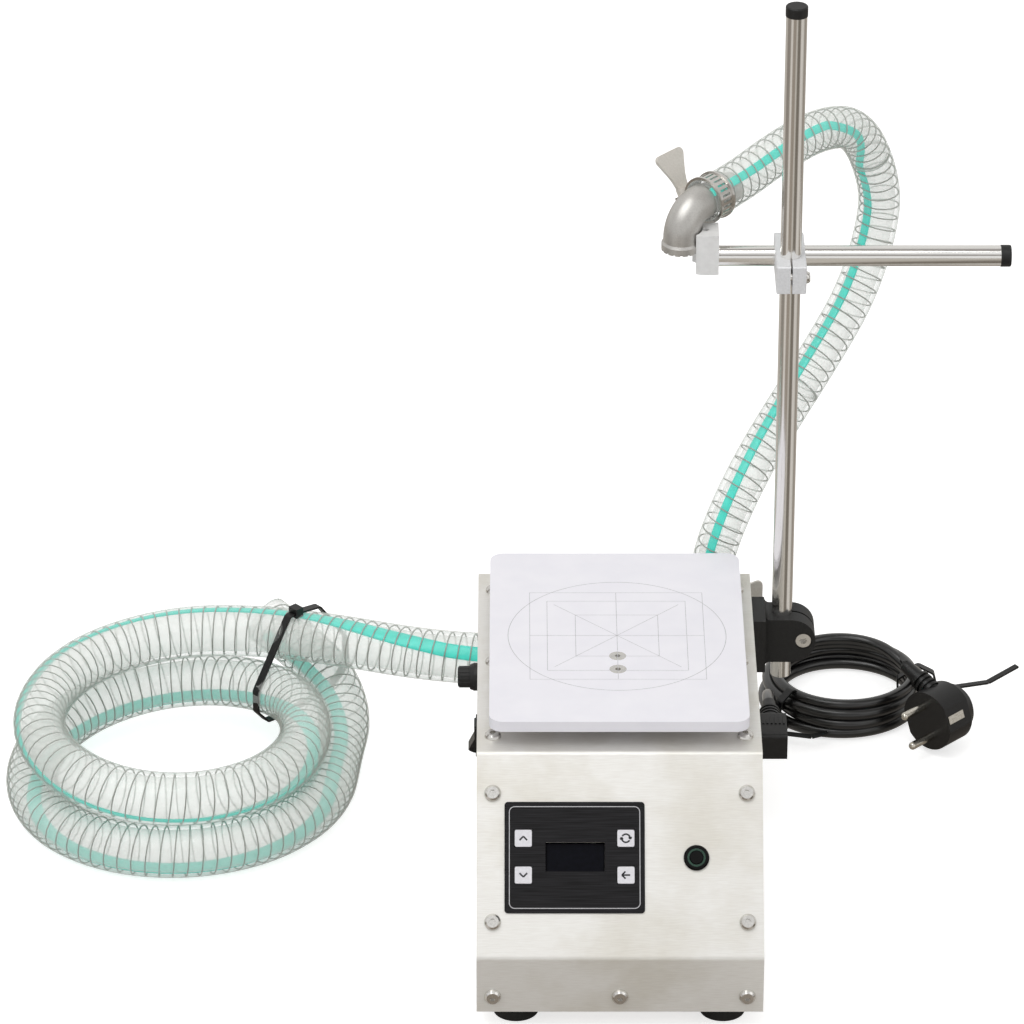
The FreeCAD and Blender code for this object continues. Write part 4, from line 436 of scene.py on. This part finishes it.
# The rocker switch, the fuse holder, the mains inlet, the pole bracket and the end caps are moulded in
# black plastic, with a fine spark-eroded grain that dulls the shine. The rocker itself is polished, and the
# bracket is glass-filled, a little coarser and greyer.
def moulded_black(name, colours, roughness, grain=0.5):
    """Moulded black plastic. Its grain is in millimetres, coarser than real so that it shows."""
    material, tree, shader, coords = new_material(name)
    wear(tree, shader, coords, grain, colours, roughness, (0.18, 0.04))
    return material


fitting_finish = moulded_black("spark-eroded black nylon", ("0A0A0A", "171717"), (0.42, 0.58))
dress(fitting_finish, "switch_black", "switch_frame", "fuse_holder", "fuse_cap")
dress(fitting_finish, "inlet_black", "mains_inlet")
dress(fitting_finish, "cap_black", "pole_cap", "arm_cap")
rocker_finish = moulded_black("polished black rocker", ("050505", "0C0C0C"), (0.2, 0.3), 2.0)
dress(rocker_finish, "switch_black", "switch_rocker")
bracket_finish = moulded_black("glass-filled black nylon", ("0D0D0D", "1D1D1D"), (0.45, 0.62), 0.7)
dress(bracket_finish, "bracket_black", "pole_bracket")
soften("switch_frame", "fuse_holder", "fuse_cap", "mains_inlet", "pole_cap", "arm_cap", "switch_rocker",
       "pole_bracket")


# The weighing plate is milled from white plastic, smooth and faintly clouded, with a thin grey centring
# grid printed on it: one circle, three squares, a centre cross and two diagonals. The ink stands a
# few hundredths of a millimetre proud.
plate_finish, tree, shader, coords = new_material("milled white acetal")
wear(tree, shader, coords, 16.0, ("EEEDF4", "F2F1F7"), (0.4, 0.5), (0.01, 0.02))
dress(plate_finish, "plate_white", "weighing_plate")
grid_finish, tree, shader, coords = new_material("grey pad print")
wear(tree, shader, coords, 1.25, ("B2B2B5", "CACACE"), (0.5, 0.6), (0.02, 0.01))
plate_low, plate_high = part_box("weighing_plate")
grid_line, grid_ink, circle_radius, circle_line = 0.3, 0.06, 62.5, 0.39
strokes = [arc_stroke(circle_radius, 0, 180, circle_line, grid_ink, 60),
           arc_stroke(circle_radius, 180, 360, circle_line, grid_ink, 60)]
for side in (100.0, 80.0, 47.5):
    half = side / 2
    corners = [(-half, -half), (half, -half), (half, half), (-half, half)]
    for index in range(4):
        strokes.append(flat_stroke(corners[index], corners[(index + 1) % 4], grid_line, grid_ink))
for start, end in (((-50, 0), (50, 0)), ((0, -50), (0, 50)), ((-36, -36), (36, 36)), ((-36, 36), (36, -36))):
    strokes.append(flat_stroke(start, end, grid_line, grid_ink))
grid = join("plate_grid", strokes)
grid.data.transform(Matrix.Translation(((plate_low.x + plate_high.x) / 2, (plate_low.y + plate_high.y) / 2,
                                        plate_high.z)))
grid.data.materials.append(grid_finish)
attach(grid, "cabinet")


# The plate is screwed to a load cell that hangs under the cabinet's top, with a spacer at each end. The
# cell, the spacers and the power supply's case are aluminium, a plain grey with a soft sheen.
cell_finish, tree, shader, coords = new_material("milled aluminium", Metallic=1.0)
wear(tree, shader, coords, 3.3, ("B8BABC", "D2D4D6"), (0.3, 0.42), (0.06, 0.03))
dress(cell_finish, "cell_aluminium", "load_cell", "cell_spacers")
dress(cell_finish, "supply_case", "power_supply")
soften("load_cell")


# The stand is a pole and an arm of 12 mm stainless tube, drawn and buffed along its length, so that fine
# lines run along it; the bright and dark bands along it are the floor's painted reflection. The cross
# clamp that holds them is milled aluminium, anodised satin and nearly white.
def drawn_tube(name, lines):
    """Tube polished along its length; lines is the buffing lines' size along each axis in millimetres."""
    material, tree, shader, coords = new_material(name, Metallic=1.0)
    wear(tree, shader, coords, lines, ("ECEAE7", "F5F4F1"), (0.12, 0.2), (0.03, 0.02), detail=3)
    return material


dress(drawn_tube("upright stainless tube", (0.6, 0.6, 30.0)), "tube_bright", "pole")
dress(drawn_tube("level stainless tube", (30.0, 0.6, 0.6)), "tube_bright", "arm_tube")
clamp_finish, tree, shader, coords = new_material("silver anodised aluminium", Metallic=0.2)
wear(tree, shader, coords, 1.1, ("DEDFE1", "E9EAEC"), (0.42, 0.52), (0.04, 0.02))
dress(clamp_finish, "clamp_aluminium", "cross_clamp")
soften("pole", "arm_tube", "cross_clamp")


# The nozzle elbow is cast stainless, bead-blasted to an even matt grey with broad soft highlights. Its
# holder is a block milled from white polypropylene, dull, and held on the arm by a set screw; its white
# is painted a little grey for the shade it stands in.
cast_finish, tree, shader, coords = new_material("bead-blasted cast stainless", Metallic=0.75)
wear(tree, shader, coords, 0.8, ("BFBDB9", "CDCBC7"), (0.36, 0.46), (0.1, 0.03))
dress(cast_finish, "elbow_cast", "nozzle_elbow")
holder_finish, tree, shader, coords = new_material("milled white polypropylene")
# Painted shade: the holder's white is set a little grey for the shade it stands in.
wear(tree, shader, coords, 3.3, ("E0E0DF", "E8E8E7"), (0.45, 0.55), (0.02, 0.02))
dress(holder_finish, "holder_white", "nozzle_holder")
soften("nozzle_elbow", "nozzle_holder")


# Worm-drive clamps hold the hoses on their tails: a rolled stainless band with a pressed screw housing,
# both bright, and a wing key cast in zinc and tumbled to a dull grey-beige.
band_finish, tree, shader, coords = new_material("rolled stainless band", Metallic=1.0)
wear(tree, shader, coords, 2.0, ("CFCCC7", "DFDDD9"), (0.16, 0.26), (0.03, 0.02))
dress(band_finish, "clamp_band", "suction_clamp_band", "delivery_clamp_band", "nozzle_clamp_band")
wing_finish, tree, shader, coords = new_material("tumbled cast zinc", Metallic=0.4)
wear(tree, shader, coords, 1.2, ("DAD5CD", "E4E0D9"), (0.4, 0.5), (0.1, 0.04))
dress(wing_finish, "wing_metal", "suction_clamp_key", "delivery_clamp_key", "nozzle_clamp_key")
soften("suction_clamp_band", "delivery_clamp_band", "nozzle_clamp_band", "suction_clamp_key",
       "delivery_clamp_key", "nozzle_clamp_key")


# Behind the cabinet sits the gear pump, screwed to the rear panel. Its body, cover and gears are machined
# from stainless bar, and its hose tails are turned, so that cutter marks soften the shine. The motor that
# drives it from inside is painted a plain half-gloss black.
pump_finish, tree, shader, coords = new_material("machined stainless", Metallic=1.0)
wear(tree, shader, coords, (20.0, 0.8, 0.8), ("AFACA6", "CDCAC4"), (0.26, 0.4), (0.1, 0.03), detail=3)
dress(pump_finish, "pump_steel", "pump_body", "pump_cover")
dress(pump_finish, "gear_steel", "drive_gear", "driven_gear")
dress(pump_finish, "fitting_steel", "suction_fitting", "delivery_fitting")
motor_finish = moulded_black("black stoved paint", ("0E0E10", "1A1A1C"), (0.3, 0.42), 1.5)
dress(motor_finish, "motor_steel", "gear_motor")
soften("pump_body", "pump_cover", "drive_gear", "driven_gear", "suction_fitting", "delivery_fitting",
       "gear_motor")


# The hoses are extruded in clear PVC with a steel wire helix in the wall and a teal marker stripe along one
# side. The wire's turns lie 7.3 mm apart, and the hazy bore dims the far ones. The wall, the bore and the
# stripe carry a painted glow, in place of light scattered in the PVC. Each hose is pushed on its tail.
def route_curve(name, points, resolution):
    """A NURBS curve that has a route's points as its control points."""
    curve = bpy.data.curves.new(name, "CURVE")
    curve.dimensions = "3D"
    curve.resolution_u = resolution
    spline = curve.splines.new("NURBS")
    spline.points.add(len(points) - 1)
    for point, place in zip(spline.points, points):
        point.co = (*place, 1)
    spline.order_u = 3
    spline.use_endpoint_u = True
    return curve


def smooth_line(name, points):
    """The points along a route's curve."""
    carrier = bpy.data.objects.new(name, route_curve(name, points, 10))
    bpy.context.scene.collection.objects.link(carrier)
    mesh = bpy.data.meshes.new_from_object(carrier)
    line = [vertex.co.copy() for vertex in mesh.vertices]
    bpy.data.objects.remove(carrier)
    return line


def line_frames(line, side):
    """Two directions across the line at each of its points, carried along it without twist."""
    frames = []
    for index in range(len(line)):
        ahead = (line[min(index + 1, len(line) - 1)] - line[max(index - 1, 0)]).normalized()
        side = (side - ahead * side.dot(ahead)).normalized()
        frames.append((side.copy(), ahead.cross(side)))
    return frames


def line_length(line):
    """The length of a line through its points."""
    return sum((b - a).length for a, b in zip(line, line[1:]))


def skin(name, rows, closed):
    """A smooth skin through rows of places; closed joins each row's ends."""
    count = len(rows[0])
    faces = []
    for row in range(len(rows) - 1):
        for column in range(count if closed else count - 1):
            after = (column + 1) % count
            faces.append((row * count + column, row * count + after,
                          (row + 1) * count + after, (row + 1) * count + column))
    mesh = bpy.data.meshes.new(name)
    mesh.from_pydata([tuple(place) for places in rows for place in places], [], faces)
    mesh.validate()
    mesh.polygons.foreach_set("use_smooth", [True] * len(mesh.polygons))
    piece = bpy.data.objects.new(name, mesh)
    bpy.context.scene.collection.objects.link(piece)
    return piece


def around(place, side, up, angle, radius):
    """A point at an angle and a distance round a place on the line."""
    return place + (side * math.cos(angle) + up * math.sin(angle)) * radius


def tube_skin(name, line, frames, radius, count):
    """A round skin about a line."""
    angles = [math.tau * column / count for column in range(count)]
    rows = [[around(place, side, up, angle, radius) for angle in angles]
            for place, (side, up) in zip(line, frames)]
    return skin(name, rows, True)


def drift_angle(drift, share):
    """The marker stripe's place round the hose, in radians, at a share of its length."""
    for (a, low), (b, high) in zip(drift, drift[1:]):
        if share <= b:
            return math.radians(low + (high - low) * (share - a) / (b - a))
    return math.radians(drift[-1][1])


def stripe_skin(name, line, frames, radius, drift, half):
    """A strip on the tube's wall. The drift gives its middle's angle in degrees at shares of the length."""
    rows = []
    for index, (place, (side, up)) in enumerate(zip(line, frames)):
        middle = drift_angle(drift, index / (len(line) - 1))
        rows.append([around(place, side, up, middle + half * (column / 3 - 1), radius)
                     for column in range(7)])
    return skin(name, rows, False)


def thicken(piece, wall):
    """Gives a skin its wall, inwards, with the piece's last material inside."""
    solid = piece.modifiers.new("wall", "SOLIDIFY")
    solid.thickness = wall
    solid.offset = -1.0
    solid.material_offset = 1
    bpy.ops.object.select_all(action="DESELECT")
    piece.select_set(True)
    bpy.context.view_layer.objects.active = piece
    bpy.ops.object.modifier_apply(modifier=solid.name)


def helix_line(line, frames, radius, pitch, steps, phase=0.0):
    """Points of a left-handed helix wound round a line."""
    total = line_length(line)
    count = int(total / pitch * steps)
    places = []
    travelled, index = 0.0, 0
    for step in range(count + 1):
        want = total * step / count
        while index < len(line) - 2 and travelled + (line[index + 1] - line[index]).length < want:
            travelled += (line[index + 1] - line[index]).length
            index += 1
        share = (want - travelled) / (line[index + 1] - line[index]).length
        place = line[index].lerp(line[index + 1], min(share, 1.0))
        side = frames[index][0].lerp(frames[index + 1][0], share)
        up = frames[index][1].lerp(frames[index + 1][1], share)
        places.append(around(place, side, up, -phase - math.tau * step / steps, radius))
    return places


# The wall is nearly clear where it is seen straight on and milky at its edges, with shallow waves. The
# bore is hazy, the wire a dull grey, and the stripe a strong even teal, brightened by a painted teal glow.
# The wall and the bore carry a faint painted glow, in place of light scattered in the PVC.
hose_finish, tree, shader, coords = new_material("clear flexible PVC", Roughness=0.12, IOR=1.45,
                                                 Emission_Strength=0.05)
facing = add_node(tree, "ShaderNodeLayerWeight", inputs={"Blend": 0.35})
haze = add_node(tree, "ShaderNodeMapRange", inputs={"To Min": 0.08, "To Max": 0.7},
                links={"Value": (facing, "Facing")})
tint = add_node(tree, "ShaderNodeValToRGB", links={"Fac": (facing, "Facing")})
tint.color_ramp.elements[0].color = linear("FAFAF8")
tint.color_ramp.elements[1].color = linear("B4C2B8")
wave_length, wave_height = 9.0, 0.5
waves = add_node(tree, "ShaderNodeTexNoise", inputs={"Scale": 1000 / wave_length, "Detail": 2},
                 links={"Vector": (coords, "Object")})
ripple = add_node(tree, "ShaderNodeBump", inputs={"Strength": 0.2, "Distance": wave_height / 1000},
                  links={"Height": (waves, "Fac")})
tree.links.new(haze.outputs["Result"], shader.inputs["Alpha"])
tree.links.new(tint.outputs["Color"], shader.inputs["Base Color"])
tree.links.new(ripple.outputs["Normal"], shader.inputs["Normal"])
# Painted glow: the bore's faint emission stands in for light scattered in the PVC.
bore_finish, tree, shader, coords = new_material("hazy PVC bore", Alpha=0.42, Emission_Strength=0.08)
wear(tree, shader, coords, 11.0, ("F1F1EC", "FBFBF8"), (0.2, 0.35), (0.2, 0.3))
wire_finish, tree, shader, coords = new_material("drawn spring steel", Metallic=0.3)
wear(tree, shader, coords, 2.0, ("92978F", "ABAFA8"), (0.3, 0.4), (0.05, 0.02))
# Painted glow: the stripe's teal emission brightens it, in place of light passing through the wall.
stripe_finish, tree, shader, coords = new_material("teal co-extruded PVC", Emission_Strength=0.3)
shader.inputs["Emission Color"].default_value = linear("00D8C6")
wear(tree, shader, coords, 5.0, ("00C0AE", "00D2C0"), (0.25, 0.4), (0.05, 0.05))
wire_pitch, wire_radius, wire_depth = 0.0073, 0.00042, 0.0008
stripe_depth, stripe_inside = 0.0016, 0.0001
hose_facets, wire_facets, wire_steps = 32, 6, 18


def make_hose(name, line, first_side, diameter, wall, drift, stripe_width, phase=0.0):
    """One hose length: its wall, its wire helix, and its stripe, which reaches just inside the bore."""
    frames = line_frames(line, Vector(first_side))
    tube = tube_skin(name, line, frames, diameter / 2, hose_facets)
    tube.data.materials.append(hose_finish)
    tube.data.materials.append(bore_finish)
    thicken(tube, wall)
    wire_path = helix_line(line, frames, diameter / 2 - wire_depth, wire_pitch, wire_steps, phase)
    wire = tube_skin(name + "_wire", wire_path, line_frames(wire_path, frames[0][0]), wire_radius,
                     wire_facets)
    wire.data.materials.append(wire_finish)
    stripe = stripe_skin(name + "_stripe", line, frames, diameter / 2 - stripe_depth, drift,
                         stripe_width / diameter)
    stripe.data.materials.append(stripe_finish)
    thicken(stripe, wall - stripe_depth + stripe_inside)
    return tube, wire, stripe


# The suction hose leaves the pump to the left and lies in two turns on the table beside the cabinet, its
# open end behind them. A loop winds the turns from their radius and height, read off at a few angles.
suction_diameter, suction_wall = 0.031, 0.003
suction_route = [
    (-32.0, 297.05, 68.0), (-75.0, 297.05, 68.0), (-118.0, 303.0, 69.0), (-165.0, 321.0, 68.0),
    (-212.0, 335.5, 66.5), (-262.0, 337.5, 65.0), (-308.0, 319.0, 61.0), (-335.0, 284.0, 58.5),
]
coil_centre = Vector((-260.0, 252.0))
coil_turns = ((190, 81.0, 58.0), (230, 81.3, 51.0), (270, 80.3, 46.2), (310, 79.3, 46.0), (360, 76.0, 43.5),
              (385, 79.0, 41.0), (407, 85.5, 37.0), (450, 83.0, 31.0), (500, 84.5, 22.0), (540, 85.0, 16.2),
              (585, 88.0, 16.2), (630, 88.0, 16.2), (675, 90.5, 16.2), (720, 93.7, 16.2), (745, 94.0, 19.0))
coil_start, coil_end, step_angle = 192, 740, 30
coil_points = []
for angle in range(coil_start, coil_end, step_angle):
    before, after = next(pair for pair in zip(coil_turns, coil_turns[1:]) if angle <= pair[1][0])
    share = (angle - before[0]) / (after[0] - before[0])
    radius = (before[1] + (after[1] - before[1]) * share) / math.cos(math.radians(step_angle / 2))
    turn = math.radians(angle)
    coil_points.append((coil_centre.x + radius * math.cos(turn), coil_centre.y + radius * math.sin(turn),
                        before[2] + (after[2] - before[2]) * share))
free_end = [(-160.0, 302.0, 23.0), (-167.0, 328.0, 34.0), (-185.0, 352.0, 43.0), (-210.0, 374.0, 52.0)]
suction_points = [at(*point) for point in suction_route + coil_points + free_end]
suction_line = smooth_line("suction_line", suction_points)
stripe_drift = ((0.0, -60), (0.036, -44), (0.07, -17), (0.103, 15), (0.16, 26), (0.2, 40), (0.3, 132),
                (0.4, 142), (0.545, 143), (0.65, 150), (0.85, 160), (1.0, 160))
suction_hose, suction_wire, suction_stripe = make_hose(
    "suction_hose", suction_line, (0, 0, 1), suction_diameter, suction_wall, stripe_drift,
    stripe_width=0.010)
for piece in (suction_hose, suction_wire, suction_stripe):
    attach(piece, "cabinet")
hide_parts("suction_hose_run", "suction_hose_coil")


# The delivery hose rises from the pump, arches over and comes back to the nozzle's elbow. It is one real
# hose, made in three lengths that meet inside the arch, because each may bend across only one joint.
delivery_diameter, delivery_wall = 0.025, 0.003
delivery_lower_route = [
    (57.0, 297.05, 88.0), (57.0, 297.05, 115.0), (58.5, 295.0, 139.0), (67.0, 300.0, 164.0),
    (80.0, 314.0, 187.0), (94.0, 331.5, 205.0), (110.5, 350.75, 223.5),
]
delivery_middle_route = [
    (110.5, 350.75, 223.5), (127.0, 370.0, 242.0), (145.0, 389.0, 268.0), (156.0, 402.0, 300.0),
    (159.0, 405.5, 330.0), (151.0, 396.5, 353.5),
]
delivery_upper_route = [
    (151.0, 396.5, 353.5), (143.0, 387.5, 377.0), (119.0, 360.0, 388.5), (93.0, 330.0, 387.0),
    (66.28, 300.32, 379.6), (48.56, 279.94, 379.6),
]
delivery_lengths = (
    ("delivery_hose_lower", delivery_lower_route, "cabinet", "pole", ((0, 5), (1, -24))),
    ("delivery_hose_middle", delivery_middle_route, "pole", "cross_clamp", ((0, -24), (1, -30))),
    ("delivery_hose_upper", delivery_upper_route, "cross_clamp", "arm",
     ((0, -30), (0.2, 50), (0.4, 105), (1, 112))),
)

# The wire's turns and the stripe's side run on from each length to the next.
wound = 0.0
stripe_side = (-0.35, -0.94, 0)
for node_name, route, held_by, led_by, drift in delivery_lengths:
    hose_points = [at(*point) for point in route]
    hose_line = smooth_line(node_name + "_line", hose_points)
    hose, wire, stripe = make_hose(node_name + "_pvc", hose_line, stripe_side, delivery_diameter,
                                   delivery_wall, drift, stripe_width=0.006, phase=wound)
    wound += math.tau * line_length(hose_line) / wire_pitch
    stripe_side = line_frames(hose_line, Vector(stripe_side))[-1][0]
    for piece in (hose, wire, stripe):
        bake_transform(piece)
    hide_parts(node_name)


# The mains lead is a 7 mm cord extruded in black PVC, smooth enough for a long highlight. It leaves its
# connector's relief, lies in a loose bundle of four and a half turns behind the cabinet, and ends in an
# angled earthed plug. Connector and plug are moulded on it, with a duller grain.
cord_diameter = 0.007
cord_finish, tree, shader, coords = new_material("extruded black PVC", Coat_Weight=0.6, Coat_Roughness=0.15)
wear(tree, shader, coords, 3.3, ("070707", "121212"), (0.25, 0.38), (0.04, 0.05))
relief_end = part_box("mains_connector")[1].y
lead_exit_y = (relief_end - cabinet_zero.y) * 1000
lead_out_route = [
    (92.5, lead_exit_y, 55.5), (92.0, 280.0, 54.0), (94.0, 297.0, 44.0), (96.0, 314.0, 29.0),
    (99.0, 332.0, 15.0),
]
lead_back_route = [
    (187.0, 372.0, 14.0), (188.0, 356.0, 22.0), (186.0, 343.0, 33.0), (178.0, 333.0, 43.0),
]

# The bundle is wound from a radius and a height for each turn. Its first strand comes down onto the table
# over 48 degrees, and the strands wander by 1.6 mm.
bundle_centre = Vector((141.5, 364.0))
bundle_turns = ((40.0, 4.2), (47.5, 4.2), (43.5, 10.4), (45.0, 16.6), (41.0, 21.0))
bundle_start, bundle_turned, lead_step = 207, 1617, 24
settle_turn, settle_slope = 48, 0.12
wander, wander_rate = 1.6, 0.37
bundle_points = []
for travelled in range(0, bundle_turned, lead_step):
    place = travelled / 360
    index = min(int(place), len(bundle_turns) - 2)
    share = min(place - index, 1)
    share = share * share * (3 - 2 * share)
    radius = bundle_turns[index][0] + (bundle_turns[index + 1][0] - bundle_turns[index][0]) * share
    height = bundle_turns[index][1] + (bundle_turns[index + 1][1] - bundle_turns[index][1]) * share
    height += max(settle_turn - travelled, 0) * settle_slope
    turn = math.radians(bundle_start - travelled)
    loose = wander * math.sin(math.radians(travelled * wander_rate))
    bundle_points.append((bundle_centre.x + (radius + loose) * math.cos(turn),
                          bundle_centre.y + (radius - loose) * math.sin(turn), height))
lead_points = [at(*point) for point in lead_out_route + bundle_points + lead_back_route]
lead_curve = route_curve("mains_cord", lead_points, 8)
lead_curve.bevel_depth = cord_diameter / 2
lead_curve.bevel_resolution = 5
lead_curve.use_fill_caps = True
lead = bpy.data.objects.new("mains_cord", lead_curve)
bpy.context.scene.collection.objects.link(lead)
lead_curve.materials.append(cord_finish)
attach(lead, "cabinet")
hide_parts("mains_lead", "mains_lead_coil")
lead_length = line_length(smooth_line("lead_measure", lead_points))
plug_finish = moulded_black("moulded black PVC", ("080808", "151515"), (0.35, 0.5), 0.8)
dress(plug_finish, "cord_black", "mains_plug", "mains_connector")

# The plug's pins are turned brass, plated with nickel: bright, with a faint warm tone.
pin_finish, tree, shader, coords = new_material("nickel-plated brass", Metallic=1.0)
wear(tree, shader, coords, 1.7, ("C9C4B8", "E2DED4"), (0.14, 0.24), (0.03, 0.02))
dress(pin_finish, "pin_nickel", "plug_pins")
soften("mains_plug", "mains_connector", "plug_pins")


# Cable ties moulded in black nylon hold the hose's turns and the lead's bundle. Each is pulled tight
# through its own head, and its end stands free. The nylon has a dull sheen.
tie_finish, tree, shader, coords = new_material("black nylon tie")
wear(tree, shader, coords, 1.7, ("070707", "111111"), (0.3, 0.45), (0.05, 0.03))
dress(tie_finish, "tie_black", "cable_ties")
soften("cable_ties")
